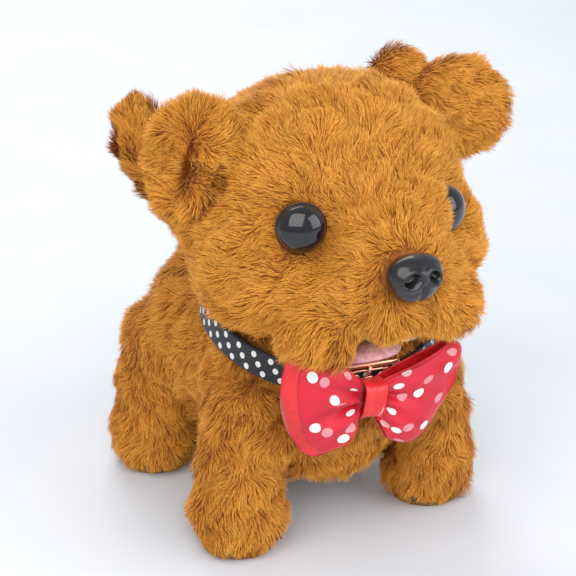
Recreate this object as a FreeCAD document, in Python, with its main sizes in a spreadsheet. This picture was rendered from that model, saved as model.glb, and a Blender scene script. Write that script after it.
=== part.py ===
import FreeCAD, Part
import Sketcher
import math
import os
import re

from FreeCAD import Placement, Rotation, Vector

# A walking plush puppy. It faces -Y, its left side is +X, +Z is up, and it stands on z = 0.
# Millimetres. Each piece is drawn about the toy's own middle plane with the floor at "floor",
# and then moved by middle_x, middle_y and -floor, which put the origin on the floor under the
# middle of the whole toy.

SIZES = [
    ("middle_x", -12.7, "toy's middle plane, from the middle of the overall width"),
    ("middle_y", 3.7, "toy's own zero, from the middle of the overall length"),
    ("slack", 0.05, "running clearance of a pin in its hole, on the radius"),
    ("soft_gap", 0.4, "room between a soft piece and what is inside it"),
    ("wall", 1.6, "moulded wall"),
    ("belly", 24.5, "underside of the belly plate"),
    ("belly_width", 38, "belly plate, across"),
    ("belly_length", 76, "belly plate, along"),
    ("belly_front", -31, "front edge of the belly plate"),
    ("door_width", 31, "battery door, across"),
    ("door_length", 54, "battery door, along"),
    ("door_front", -27, "front edge of the battery door"),
    ("door_gap", 0.3, "gap round the battery door"),
    ("cell_radius", 7.0, "AA cell"),
    ("cell_length", 49.2, "AA cell, without its nub"),
    ("box_height", 16, "battery box"),
    ("chassis_width", 40, "chassis, both halves"),
    ("chassis_length", 84, "chassis"),
    ("chassis_front", -38, "front face of the chassis"),
    ("chassis_floor", 42.5, "underside of the chassis"),
    ("chassis_height", 32, "chassis"),
    ("screw_radius", 1.3, "self-tapping screw"),
    ("boss_radius", 2.6, "screw boss"),
    ("floor", 8, "the floor, in the heights used in this sheet"),
    ("hip_height", 50, "leg pivots"),
    ("hip_front", -31, "front leg pivot"),
    ("hip_back", 32, "hind leg pivot"),
    ("axle_radius", 2, "hip axle"),
    ("axle_reach", 41, "hip axle, from the middle to its end"),
    ("leg_middle", 35.5, "middle of a leg, from the toy's middle plane"),
    ("leg_radius", 16, "leg, fur included"),
    ("hip_radius", 15.5, "the leg's rounded top, fur included, a little slimmer than the leg itself"),
    ("sole_radius", 11.5, "foot sole"),
    ("sole_thick", 1.5, "foot sole"),
    ("hub_inner", 27, "inner face of a leg's hub"),
    ("hub_width", 6, "leg hub, across"),
    ("link_arm", 12, "leg pivot to the link bar's pin"),
    ("link_inner", 24.4, "inner face of a link bar"),
    ("link_thick", 1.6, "link bar"),
    ("crank_throw", 2.5, "crank pin, from the crank's middle"),
    ("gear_height", 61.5, "gear shafts"),
    ("motor_y", 32, "motor shaft"),
    ("tooth_module", 0.6, "gear teeth, pitch diameter over their number"),
    ("pinion_teeth", 10, "motor pinion and both small pinions"),
    ("wheel_teeth", 28, "both compound wheels"),
    ("drive_teeth", 30, "drive gear"),
    ("gear_start", 9.4, "inner face of the first gear layer"),
    ("gear_width", 2.2, "face width of each gear"),
    ("gear_layer", 2.6, "from one gear layer to the next"),
    ("shaft_radius", 1.5, "crank shaft, neck pin and tail pin"),
    ("jaw_pin_radius", 1.2, "jaw pin"),
    ("shank_radius", 2, "eye and nose shanks"),
    ("pin_radius", 1, "gear pins and motor shaft"),
    ("neck_y", -20, "nodding pivot"),
    ("neck_height", 92, "nodding pivot"),
    ("collar_y", -21, "middle of the collar"),
    ("collar_height", 82, "middle of the collar"),
    ("collar_tilt", 16, "the collar's rise to the back, in degrees"),
    ("collar_inner", 37, "collar's inner radius"),
    ("collar_thick", 1.5, "collar strap"),
    ("collar_width", 10, "collar strap"),
    ("skull_y", -26, "middle of the skull"),
    ("skull_height", 116, "middle of the skull"),
    ("skull_across", 33, "skull, half width"),
    ("skull_along", 27, "skull, half length"),
    ("skull_up", 26, "skull, half height"),
    ("head_y", -22, "middle of the head"),
    ("head_height", 118, "middle of the head"),
    ("head_across", 53, "head, half width with fur"),
    ("head_along", 42, "head, half length with fur"),
    ("head_up", 39.5, "head, half height with fur"),
    ("left_eye_x", 25.2, "left eye, from the middle plane: it is sewn a little lower"),
    ("left_eye_y", -55, "left eye's base"),
    ("left_eye_height", 119.8, "left eye's middle"),
    ("right_eye_x", 26, "right eye, from the middle plane"),
    ("right_eye_y", -57, "right eye's base"),
    ("right_eye_height", 124, "right eye's middle"),
    ("eye_radius", 7.5, "eye dome"),
    ("eye_dome", 5, "eye dome, how far it stands out"),
    ("nose_y", -77.5, "back of the nose"),
    ("nose_height", 112, "middle of the nose"),
    ("jaw_y", -44, "jaw pivot"),
    ("jaw_height", 92, "jaw pivot"),
    ("bow_x", -8, "middle of the bow's knot"),
    ("bow_y", -61.7, "back of the bow"),
    ("bow_height", 69, "middle of the bow's knot"),
    ("bow_tilt", 8, "the bow's fall to the left, in degrees"),
    ("chin_height", 81.6, "underside of the jaw's moulded plate"),
    ("bow_reach", 32, "bow, half width"),
    ("tail_y", 59, "middle of the tail's hub"),
    ("tail_height", 68, "tail pivot"),
    ("tail_lean", 18, "tail's lean to the right at rest, in degrees"),
    ("tail_back", 9, "tail's lean to the back, in degrees"),
]
SIZE = {alias: value for alias, value, meaning in SIZES}
ROUND = {"X": Rotation(Vector(0, 1, 0), 90), "Y": Rotation(Vector(1, 0, 0), -90), "Z": Rotation()}
SIDES = {"left": 1, "right": -1}
LEG_SWING = 12  # degrees, each way

doc = FreeCAD.newDocument("plush_puppy")
pieces = []


def make_sheet():
    """The driving dimensions, one per row, each with its alias."""
    sheet = doc.addObject("Spreadsheet::Sheet", "Sizes")
    for row, (alias, value, meaning) in enumerate(SIZES, start=1):
        sheet.set(f"A{row}", meaning)
        sheet.set(f"B{row}", str(value))
        sheet.setAlias(f"B{row}", alias)
    doc.recompute()


def formula(text):
    """An expression for setExpression, with each alias read from the sheet."""
    return re.sub(r"[a-z_]+", lambda word: f"Sizes.{word[0]}" if word[0] in SIZE else word[0], str(text))


def bind(thing, **rules):
    """Ties properties of a document object to the sheet."""
    for prop, rule in rules.items():
        thing.setExpression(prop.replace("__", "."), formula(rule))
    return thing


def at(thing, x=0, y=0, z=0):
    return bind(thing, Placement__Base__x=x, Placement__Base__y=y, Placement__Base__z=z)


def piece(thing, name, x=0, y=0, z=0, turn=None):
    """Makes a document object a sub-part: its label, and its place in the toy."""
    thing.Label = name
    if turn:
        thing.Placement = Placement(Vector(), turn)
    at(thing, f"middle_x + {x}", f"middle_y + {y}", f"{z} - floor")
    pieces.append(thing)
    return thing


def block(name, x, y, z, across, along, up):
    """A box, by its lowest corner and its three sides."""
    return at(bind(doc.addObject("Part::Box", name), Length=across, Width=along, Height=up), x, y, z)


def slab(name, half, y, z, along, up):
    """A box with its middle on the toy's middle plane."""
    return block(name, f"-({half})", y, z, f"2 * ({half})", along, up)


def rod(name, radius, length, x, y, z, along="X"):
    """A cylinder from a point along one axis."""
    cylinder = bind(doc.addObject("Part::Cylinder", name), Radius=radius, Height=length)
    cylinder.Placement = Placement(Vector(), ROUND[along])
    return at(cylinder, x, y, z)


def egg(name, x, y, z, across, along, up, turn=None):
    """An ellipsoid, by its middle and its three half sizes."""
    ellipsoid = bind(doc.addObject("Part::Ellipsoid", name), Radius1=up, Radius2=across, Radius3=along)
    if turn:
        ellipsoid.Placement = Placement(Vector(), turn)
    return at(ellipsoid, x, y, z)


def fuse(name, *things):
    joined = doc.addObject("Part::MultiFuse", name)
    joined.Shapes = list(things)
    return joined


def cut(name, base, *tools):
    taken = doc.addObject("Part::Cut", name)
    taken.Base = base
    taken.Tool = tools[0] if len(tools) == 1 else fuse(f"{name}_tools", *tools)
    return taken


def group(name, *things):
    """Several alike solids that share one sub-part."""
    together = doc.addObject("Part::Compound", name)
    together.Links = list(things)
    return together


def origin_part(body, role):
    return next(feature for feature in body.Origin.OriginFeatures if feature.Role == role)


def new_body(name):
    return doc.addObject("PartDesign::Body", name)


def new_sketch(body, plane, height=0, turn=0):
    """A sketch on one of the body's own origin planes, moved along its normal and turned in it."""
    sketch = body.newObject("Sketcher::SketchObject", "Sketch")
    sketch.AttachmentSupport = [(origin_part(body, plane), "")]
    sketch.MapMode = "FlatFace"
    sketch.AttachmentOffset = Placement(Vector(), Rotation(Vector(0, 0, 1), turn))
    return bind(sketch, AttachmentOffset__Base__z=height)


def dimension(sketch, rule, *constraint):
    """A dimension of a sketch, tied to the sheet."""
    index = sketch.addConstraint(Sketcher.Constraint(*constraint))
    sketch.setExpression(f"Constraints[{index}]", formula(rule))


def rectangle(sketch, x, y, across, along):
    """A rectangle by its lowest corner and its sides, all four dimensions tied to the sheet."""
    corners = [Vector(0, 0), Vector(1, 0), Vector(1, 1), Vector(0, 1)]
    first = sketch.GeometryCount
    for start, end in zip(corners, corners[1:] + corners[:1]):
        sketch.addGeometry(Part.LineSegment(start, end))
    for line in range(4):
        sketch.addConstraint(Sketcher.Constraint("Coincident", first + line, 2, first + (line + 1) % 4, 1))
        sketch.addConstraint(Sketcher.Constraint("Vertical" if line % 2 else "Horizontal", first + line))
    dimension(sketch, x, "DistanceX", -1, 1, first, 1, 0.0)
    dimension(sketch, y, "DistanceY", -1, 1, first, 1, 0.0)
    dimension(sketch, across, "DistanceX", first, 1, first, 2, 1.0)
    dimension(sketch, along, "DistanceY", first + 1, 1, first + 1, 2, 1.0)


def ring(sketch, x, y, radius):
    """A circle by its middle and radius."""
    circle = sketch.addGeometry(Part.Circle(Vector(0, 0), Vector(0, 0, 1), 1))
    dimension(sketch, x, "DistanceX", -1, 1, circle, 3, 0.0)
    dimension(sketch, y, "DistanceY", -1, 1, circle, 3, 0.0)
    dimension(sketch, radius, "Radius", circle, 1.0)


def grow(body, sketch, length):
    """Pads a sketch along its plane's normal."""
    feature = body.newObject("PartDesign::Pad", "Pad")
    feature.Profile = sketch
    return bind(feature, Length=length)


def pierce(body, sketch):
    """Cuts a sketch right through the body, both ways."""
    feature = body.newObject("PartDesign::Pocket", "Pocket")
    feature.Profile = sketch
    feature.Type = "ThroughAll"
    feature.Midplane = True
    return feature


def add_teeth(body, teeth, start, width, turned):
    """One gear on a body's X axis: a root disc and a ring of straight-flanked teeth."""
    module = SIZE["tooth_module"]
    root, tip = module * (teeth / 2 - 1.05), module * (teeth / 2 + 0.85)
    thick_root, thick_tip = 0.50 * math.pi * module, 0.20 * math.pi * module
    disc = new_sketch(body, "YZ_Plane", start)
    ring(disc, 0, 0, root)
    grow(body, disc, width)
    tooth = new_sketch(body, "YZ_Plane", start, turned)
    foot = root - 0.2
    corners = [Vector(foot, -thick_root / 2), Vector(tip, -thick_tip / 2)]
    corners += [Vector(tip, thick_tip / 2), Vector(foot, thick_root / 2)]
    for begin, end in zip(corners, corners[1:] + corners[:1]):
        tooth.addGeometry(Part.LineSegment(begin, end))
    first_tooth = grow(body, tooth, width)
    doc.recompute()
    pattern = body.newObject("PartDesign::PolarPattern", "Teeth")
    pattern.Originals = [first_tooth]
    pattern.Axis = (origin_part(body, "X_Axis"), [""])
    pattern.Angle = 360
    pattern.Occurrences = teeth
    body.Tip = pattern
    doc.recompute()


def bore_along(body, radius):
    hole = new_sketch(body, "YZ_Plane")
    ring(hole, 0, 0, radius)
    pierce(body, hole)
    doc.recompute()


def screw_places():
    """The four screw bosses, as (y, z)."""
    top = SIZE["chassis_floor"] + SIZE["chassis_height"] - 4.5
    low = SIZE["chassis_floor"] + 4
    return [(-34, top), (-20, low), (24, low), (43, top)]


def make_chassis():
    """Two moulded halves that meet on the middle plane, with bosses for the screws."""
    for side, sign in SIDES.items():
        name = f"chassis_{side}"
        half, room = "chassis_width / 2", "chassis_width / 2 - wall"
        outer_x = 0 if sign > 0 else f"-({half})"
        room_x = 0 if sign > 0 else f"-({room})"
        shell = block(
            f"{name}_block", outer_x, "chassis_front", "chassis_floor",
            half, "chassis_length", "chassis_height",
        )
        inside = block(
            f"{name}_room", room_x, "chassis_front + wall", "chassis_floor + wall",
            room, "chassis_length - 2 * wall", "chassis_height - 2 * wall",
        )
        hollow = cut(f"{name}_hollow", shell, inside)
        bosses = [rod(f"{name}_boss", "boss_radius", room, room_x, y, z) for y, z in screw_places()]
        bores = [rod(f"{name}_bore", "screw_radius + slack", 60, -30, y, z) for y, z in screw_places()]
        for hip in ("hip_front", "hip_back"):
            bores.append(rod(f"{name}_axle_bore", "axle_radius + slack", 60, -30, hip, "hip_height"))
        bores.append(rod(f"{name}_shaft_bore", "shaft_radius + slack", 60, -30, crank_y(), "gear_height"))
        bores.append(rod(f"{name}_tail_bore", "shaft_radius + slack", 30, 0, 30, "tail_height", "Y"))
        piece(cut(name, fuse(f"{name}_mould", hollow, *bosses), *bores), name)
    screws = []
    for y, z in screw_places():
        screws.append(rod("screw_thread", "screw_radius", 34, -20, y, z))
        screws.append(rod("screw_head", 2.4, 1.4, -21.4, y, z))
    piece(fuse("chassis_screws", *screws), "chassis_screws")


def crank_y():
    """The crank shaft's place: two compound stages and the drive gear, in a row from the motor."""
    stage = SIZE["tooth_module"] * (SIZE["pinion_teeth"] + SIZE["wheel_teeth"]) / 2
    last = SIZE["tooth_module"] * (SIZE["pinion_teeth"] + SIZE["drive_teeth"]) / 2
    return SIZE["motor_y"] - 2 * stage - last


def make_belly():
    """The plate that shows under the belly, its battery door with a screw, and the switch."""
    plate = new_body("belly_plate")
    outline = new_sketch(plate, "XY_Plane", "belly")
    rectangle(outline, "-belly_width / 2", "belly_front", "belly_width", "belly_length")
    grow(plate, outline, "wall + 0.2")
    doc.recompute()
    window = new_sketch(plate, "XY_Plane", "belly")
    rectangle(
        window, "-door_width / 2 - door_gap", "door_front - door_gap",
        "door_width + 2 * door_gap", "door_length + 2 * door_gap",
    )
    rectangle(window, -4.5, 36, 9, 3.6)
    pierce(plate, window)
    piece(plate, "belly_plate")

    door = new_body("battery_door")
    leaf = new_sketch(door, "XY_Plane", "belly")
    rectangle(leaf, "-door_width / 2", "door_front", "door_width", "door_length")
    grow(door, leaf, "wall")
    doc.recompute()
    for rib in range(4):
        grip = new_sketch(door, "XY_Plane", "belly - 0.4")
        rectangle(grip, -7, 16 + 2 * rib, 14, 0.8)
        grow(door, grip, 0.6)
    doc.recompute()
    hole = new_sketch(door, "XY_Plane")
    ring(hole, 0, -22, 1.5)
    pierce(door, hole)
    piece(door, "battery_door")
    thread = rod("door_thread", 1.3, 3, 0, -22, "belly - 0.1", "Z")
    head = rod("door_head", 2.6, 1.2, 0, -22, "belly - 1.3", "Z")
    slot = block("door_slot", -2, -22.4, "belly - 1.6", 4, 0.8, 0.9)
    piece(cut("door_screw", fuse("door_screw_blank", thread, head), slot), "door_screw")

    knob = block("switch_knob", -2.2, 36.3, "belly - 1.6", 2.8, 3, 4.6)
    carrier = block("switch_carrier", -3.6, 35, "belly + 2.2", 5.6, 5.6, 1.2)
    piece(fuse("switch_slider", knob, carrier), "switch_slider")


def make_batteries():
    """A tub for two AA cells side by side, the cells, and their contacts."""
    top = "belly + wall + 0.2"
    tub = slab("tub", "door_width / 2 + 1.2", "door_front - 1.2", top, "door_length + 2.4", "box_height")
    room = slab("tub_room", "door_width / 2", "door_front", top, "door_length", "box_height - wall")
    spacer = slab("tub_spacer", 0.25, "door_front + 8", top, "door_length - 8", 5)
    piece(fuse("battery_box", cut("tub_hollow", tub, room), spacer), "battery_box")
    height = f"{top} + cell_radius + 0.25"
    cells = []
    for side, sign in SIDES.items():
        x = f"{sign} * (cell_radius + 0.35)"
        cells.append(rod("cell", "cell_radius", "cell_length", x, "door_front + 2", height, "Y"))
        nub = f"door_front + 2 + {'cell_length' if sign > 0 else -1}"
        cells.append(rod("cell_nub", 2.7, 1, x, nub, height, "Y"))
    piece(fuse("battery_cells", *cells), "battery_cells")
    contacts = []
    for side, sign in SIDES.items():
        for end, y in (("front", "door_front + 0.1"), ("back", "door_front + door_length - 0.5")):
            x = f"{sign} * (cell_radius + 0.35) - 4"
            contacts.append(block(f"contact_{end}_{side}", x, y, f"{height} - 5", 8, 0.4, 10))
    piece(group("battery_contacts", *contacts), "battery_contacts")


def make_works():
    """Motor, circuit board and speaker inside the chassis."""
    can = rod("motor_can", 7.5, 24, -17, "motor_y", "gear_height")
    collar = rod("motor_collar", 3, 0.5, 7, "motor_y", "gear_height")
    shaft_room = rod("motor_bore", "pin_radius + slack", 40, -20, "motor_y", "gear_height")
    piece(cut("motor", fuse("motor_body", can, collar), shaft_room), "motor")
    plate = block("gear_plate_blank", 7.6, -7, 52, 1.2, 33, 19)
    holes = [
        rod("gear_plate_hole", "pin_radius", 6, 5, y, "gear_height") for y in wheel_places()
    ]
    holes.append(rod("gear_plate_crank_hole", "shaft_radius + 0.3", 6, 5, crank_y(), "gear_height"))
    piece(cut("gear_plate", plate, *holes), "gear_plate")
    pins = [rod("gear_pin", "pin_radius", 10.6, 7.6, y, "gear_height") for y in wheel_places()]
    pins.append(rod("neck_pin", "shaft_radius", 28, -14, "neck_y", "neck_height"))
    pins.append(rod("tail_pin", "shaft_radius", 20.5, 0, 44.5, "tail_height", "Y"))
    piece(group("pivot_pins", *pins), "pivot_pins")

    board = new_body("circuit_board")
    outline = new_sketch(board, "XY_Plane", 69)
    rectangle(outline, -15, -30.5, 27, 16)
    grow(board, outline, 1.2)
    doc.recompute()
    mounts = new_sketch(board, "XY_Plane", 69)
    for x in (-13, 10):
        ring(mounts, x, -28, 1.1)
    pierce(board, mounts)
    piece(board, "circuit_board")
    chip = block("chip", -10, -26, 67.4, 8, 8, 1.6)
    can = rod("capacitor", 2.5, 6, 3, -20, 63, "Z")
    plug = block("wire_plug", 4, -29, 66, 6, 4, 3)
    piece(group("board_parts", chip, can, plug), "board_parts")
    magnet = rod("speaker_magnet", 5, 3, 0, -21, 49.4, "Z")
    frame = rod("speaker_frame", 10, 2.6, 0, -21, 52.4, "Z")
    piece(fuse("speaker", magnet, frame), "speaker")


def wheel_places():
    stage = SIZE["tooth_module"] * (SIZE["pinion_teeth"] + SIZE["wheel_teeth"]) / 2
    return [SIZE["motor_y"] - stage, SIZE["motor_y"] - 2 * stage]


def make_gears():
    """Motor pinion, two compound wheels and the drive gear, in three layers out from the gear plate.

    Each wheel starts half a tooth round, so that its gaps face the pinions' teeth.
    """
    small, large, last = SIZE["pinion_teeth"], SIZE["wheel_teeth"], SIZE["drive_teeth"]
    layers = ["gear_start", "gear_start + gear_layer", "gear_start + 2 * gear_layer"]
    pinion = new_body("motor_pinion")
    add_teeth(pinion, small, layers[0], "gear_width", 0)
    bore_along(pinion, "pin_radius")
    piece(pinion, "motor_pinion", 0, "motor_y", "gear_height")
    shaft = group("motor_shaft", rod("motor_rod", "pin_radius", 30.2, -18.2, 0, 0))
    piece(shaft, "motor_shaft", 0, "motor_y", "gear_height")
    for stage, (name, y) in enumerate(zip(("gear_one", "gear_two"), wheel_places())):
        body = new_body(name)
        add_teeth(body, large, layers[stage], "gear_layer", 180 / large)
        add_teeth(body, small, layers[stage + 1], "gear_width", 0)
        bore_along(body, "pin_radius + slack")
        piece(body, name, 0, y, "gear_height")
    drive = new_body("drive_gear")
    add_teeth(drive, last, layers[2], "gear_width", 180 / last)
    bore_along(drive, "shaft_radius")
    piece(drive, "drive_gear", 0, crank_y(), "gear_height")


def make_cranks():
    """The crank shaft runs across the chassis, with a crank disc and pin on each end."""
    shaft = rod("crank_rod", "shaft_radius", 44.8, -22.4, 0, 0)
    piece(group("crank_shaft", shaft), "crank_shaft", 0, crank_y(), "gear_height")
    cranks = []
    for side, sign in SIDES.items():
        body = new_body(f"crank_{side}")
        disc = new_sketch(body, "YZ_Plane", 20.5 if sign > 0 else -22.5)
        ring(disc, 0, 0, 5.5)
        grow(body, disc, 2)
        doc.recompute()
        pin = new_sketch(body, "YZ_Plane", 22.5 if sign > 0 else -24)
        ring(pin, 0, f"{sign} * crank_throw", 1.2)
        grow(body, pin, 1.5)
        doc.recompute()
        hole = new_sketch(body, "YZ_Plane", 20.4 if sign > 0 else -22.4)
        ring(hole, 0, 0, "shaft_radius")
        cutter = body.newObject("PartDesign::Pocket", "Pocket")
        cutter.Profile = hole
        cutter.Reversed = True
        bind(cutter, Length=2)
        doc.recompute()
        cranks.append(body)
    piece(group("cranks", *cranks), "cranks", 0, crank_y(), "gear_height")


def make_axles():
    """Two steel axles right across the toy: the legs turn on their ends, held on by caps."""
    axles = []
    for hip in ("hip_front", "hip_back"):
        axles.append(rod("hip_rod", "axle_radius", "2 * axle_reach", "-axle_reach", hip, "hip_height"))
        axles += [rod("hip_cap", 3.2, 1.2, x, hip, "hip_height") for x in ("axle_reach", "-axle_reach - 1.2")]
    piece(fuse("hip_axles", *axles), "hip_axles")


def make_leg_frame(name, sign, y):
    """A leg's moulded frame: a hub on the axle, an arm up to the link bar, a strut and a foot plate."""
    inner = "hub_inner" if sign > 0 else "-hub_inner - hub_width"
    thin = "hub_inner" if sign > 0 else "-hub_inner - 3"
    hub = rod(f"{name}_hub", 6, "hub_width", inner, 0, 0)
    arm = block(f"{name}_arm", thin, -3, 0, 3, 6, "link_arm")
    eye = rod(f"{name}_eye", 3, 3, thin, 0, "link_arm")
    stud_x = "link_inner - 0.2" if sign > 0 else "-hub_inner - 1"
    stud = rod(f"{name}_stud", 1.4, "hub_inner - link_inner + 1.2", stud_x, 0, "link_arm")
    strut = block(
        f"{name}_strut", inner, -5, "4 + floor - hip_height", "hub_width", 10, "hip_height - floor - 4",
    )
    foot_x = "leg_middle - 11" if sign > 0 else "-leg_middle - 9"
    foot = block(f"{name}_foot", foot_x, -10, "3 + floor - hip_height", 20, 20, 3)
    bore = rod(f"{name}_bore", "axle_radius + slack", 20, "25" if sign > 0 else "-45", 0, 0)
    mould = fuse(f"{name}_mould", hub, arm, eye, stud, strut, foot)
    piece(cut(name, mould, bore), name, 0, y, "hip_height")


def make_leg_plush(name, sign, y):
    """A leg's furry tube, closed under the foot and rounded over the hip, with the frame's room in it."""
    middle = f"{sign} * leg_middle"
    base = "sole_thick + floor - hip_height"
    column = rod(f"{name}_column", "leg_radius", "hip_height - floor - 7.5", middle, 0, base, "Z")
    hip = rod(f"{name}_hip", "hip_radius", 22, 29.5 if sign > 0 else -29.5 - 22, 0, 0)
    arm_reach = "link_arm + 3.5"
    gap = "soft_gap"
    inner = "hub_inner" if sign > 0 else "-hub_inner - hub_width"
    thin = "hub_inner" if sign > 0 else "-hub_inner - 3"
    rooms = [
        rod(f"{name}_hub_room", f"6 + {gap}", f"hub_width + 2 * {gap}", f"{inner} - {gap}", 0, 0),
        block(f"{name}_arm_room", f"{thin} - {gap}", f"-3 - {gap}", 0,
              f"3 + 2 * {gap}", f"6 + 2 * {gap}", arm_reach),
        block(f"{name}_strut_room", f"{inner} - {gap}", f"-5 - {gap}", f"4 + floor - hip_height - {gap}",
              f"hub_width + 2 * {gap}", f"10 + 2 * {gap}", f"hip_height - floor - 4 + {gap}"),
        block(f"{name}_foot_room", f"{middle} - {'11' if sign > 0 else '9'} - {gap}", f"-10 - {gap}",
              f"3 + floor - hip_height - {gap}", f"20 + 2 * {gap}", f"20 + 2 * {gap}", f"3 + 2 * {gap}"),
        rod(f"{name}_axle_room", 4, 20, 26 if sign > 0 else -46, 0, 0),
        block(f"{name}_side_room", 15 if sign > 0 else -29, -20, -9, 14, 40, 32),
    ]
    piece(cut(name, fuse(f"{name}_outer", column, hip), *rooms), name, 0, y, "hip_height")


def make_legs():
    for end in ("front", "back"):
        for side, sign in SIDES.items():
            make_leg_frame(f"leg_frame_{end}_{side}", sign, f"hip_{end}")
            make_leg_plush(f"leg_plush_{end}_{side}", sign, f"hip_{end}")
            name = f"sole_{end}_{side}"
            middle = f"{sign} * leg_middle"
            pad = rod(f"{name}_pad", "sole_radius", "sole_thick", middle, 0, "floor - hip_height", "Z")
            piece(group(name, pad), name, 0, f"hip_{end}", "hip_height")


def make_links():
    """A bar on each side joins the front leg's arm to the hind leg's, so that both swing alike."""
    for side, sign in SIDES.items():
        bar = new_body(f"link_bar_{side}")
        plane_x = "link_inner" if sign > 0 else "-link_inner - link_thick"
        shape = new_sketch(bar, "YZ_Plane", plane_x)
        rectangle(shape, "hip_front - 3", "hip_height + link_arm - 3", "hip_back - hip_front + 6", 6)
        grow(bar, shape, "link_thick")
        doc.recompute()
        lobe = new_sketch(bar, "YZ_Plane", plane_x)
        rectangle(lobe, crank_y() - 4.5, "gear_height - 6.5", 9, 12)
        grow(bar, lobe, "link_thick")
        doc.recompute()
        holes = new_sketch(bar, "YZ_Plane", plane_x)
        for hip in ("hip_front", "hip_back"):
            ring(holes, hip, "hip_height + link_arm", 1.45)
        rectangle(holes, crank_y() - 1.3, "gear_height - 4.5", 2.6, 8)
        pierce(bar, holes)
        piece(bar, f"link_bar_{side}")


def carried(thing, whole):
    """Moves a primitive by a placement, after its own place is worked out."""
    doc.recompute()
    local = thing.Placement
    for axis in "xyz":
        thing.setExpression(f"Placement.Base.{axis}", None)
    thing.Placement = whole.multiply(local)
    return thing


def tilted(thing):
    """Tilts a primitive drawn about the collar's middle into the collar's plane."""
    middle = Vector(0, SIZE["collar_y"], SIZE["collar_height"])
    return carried(thing, Placement(middle, Rotation(Vector(1, 0, 0), SIZE["collar_tilt"])))


def head_outline(name):
    """The head's outer form with its fur: skull, cheeks and muzzle."""
    skull = egg(f"{name}_skull", 0, "head_y", "head_height", "head_across", "head_along", "head_up")
    muzzle = egg(f"{name}_muzzle", 0, -62, 100, 34, 21, 18.5)
    return fuse(name, skull, muzzle)


def make_body_plush():
    """The stuffed body: chest, rump and neck, open where the works, the legs and the tail are."""
    chest = egg("chest", 0, -22, 62, 43, 37, 38.5)
    rump = egg("rump", 0, 21, 60, 44, 42, 37)
    above_groove = tilted(rod("neck_groove", 60, 60, 0, 0, -5.5, "Z"))
    trunk = cut("trunk", fuse("trunk_whole", chest, rump), above_groove)
    neck = tilted(rod("neck_stub", "collar_inner - 0.3", 26, 0, 0, -20.8, "Z"))
    works = slab("works_room", "27", "chassis_front - 1", 20, "chassis_length + 2", 56)
    links = slab("links_room", 27, "hip_front - 8", 50, "hip_back - hip_front + 16", 20)
    belly = slab("belly_room", "belly_width / 2 + 0.3", "belly_front - 0.3", 20, "belly_length + 0.6", 10)
    rooms = [works, links, belly]
    for end in ("front", "back"):
        hip = f"hip_{end}"
        for side, sign in SIDES.items():
            rooms.append(rod("leg_room", 18, 50, 17 if sign > 0 else -67, hip, "hip_height"))
            for lean in (-1, 1):
                swing = Rotation(Vector(1, 0, 0), (LEG_SWING + 1) * lean)
                pivot = Placement(Vector(0, SIZE[hip], SIZE["hip_height"]), swing)
                room = block("leg_swing_room", 17 if sign > 0 else -67, -17.5, -60, 50, 35, 60)
                rooms.append(carried(room, pivot))
    rooms.append(slab("neck_room", 16, "neck_y - 16", 70, 32, 50))
    rooms.append(slab("jaw_sweep", 18, -70, "chin_height - 4.8", 32, 20))
    rooms.append(slab("tail_hub_room", 8, 44, "tail_height - 7", 30, 14))
    rooms.append(slab("tail_room", 24, 50, "tail_height - 2", 25, 50))
    piece(cut("body_plush", fuse("body_form", trunk, neck), *rooms), "body_plush")


def make_neck():
    """The bracket on the chassis that carries the head's pin."""
    top = "chassis_floor + chassis_height"
    foot = slab("bracket_foot", 12, "neck_y - 10", top, 20, 2)
    post = slab("bracket_post", 8, "neck_y - 5", top, 10, f"neck_height + 4.5 - ({top})")
    pin_bore = rod("bracket_bore", "shaft_radius", 30, -15, "neck_y", "neck_height")
    piece(cut("neck_bracket", fuse("bracket_mould", foot, post), pin_bore), "neck_bracket")


def eye_turn(side):
    """Out of the face, a little to the eye's own side."""
    return Rotation(Vector(0, 0, 1), Vector(0.34 * SIDES[side], -0.93, 0.1))


def eye_tool(name, side, radius, length, start):
    """A cylinder on an eye's axis, from start along it."""
    tool = bind(doc.addObject("Part::Cylinder", name), Radius=radius, Height=length)
    turn = eye_turn(side)
    base = Vector(SIDES[side] * SIZE[f"{side}_eye_x"], SIZE[f"{side}_eye_y"], SIZE[f"{side}_eye_height"])
    tool.Placement = Placement(base + turn.multVec(Vector(0, 0, start)), turn)
    return tool


def skull_egg(name, inward):
    """The skull's form, drawn in by so much all round."""
    sizes = [f"skull_{way} - {inward}" for way in ("across", "along", "up")]
    return egg(name, 0, "skull_y", "skull_height", *sizes)


def skull_front_parts():
    """The snout tube and the jaw's lugs, and the front shell's holes."""
    tube = rod("snout_tube", 6.5, 21, 0, -67, 107, "Y")
    tube_room = rod("snout_room", 5, 21, 0, -65.5, 107, "Y")
    shank_bore = rod("snout_bore", "shank_radius", 6, 0, -70, 109, "Y")
    extra = [cut("snout", tube, tube_room, shank_bore)]
    extra += [block("jaw_lug", x, "jaw_y - 3.5", "jaw_height - 3.5", 2, 7, 14) for x in (9, -11)]
    rooms = [skull_egg("snout_clear", "wall - 0.1")]
    rooms += [eye_tool("eye_hole", side, "shank_radius + 0.3", 30, -25) for side in SIDES]
    rooms.append(rod("jaw_pin_bore", "jaw_pin_radius", 30, -15, "jaw_y", "jaw_height"))
    return extra, rooms


def skull_back_parts():
    """The neck tabs, and the back shell's holes."""
    extra = [block("neck_tab", x, "neck_y - 4.5", "neck_height - 4", 3, 9, 22) for x in (9, -12)]
    rooms = [skull_egg("tab_clear", "wall - 3")]
    rooms.append(rod("neck_pin_bore", "shaft_radius + slack", 30, -15, "neck_y", "neck_height"))
    return extra, rooms


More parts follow.
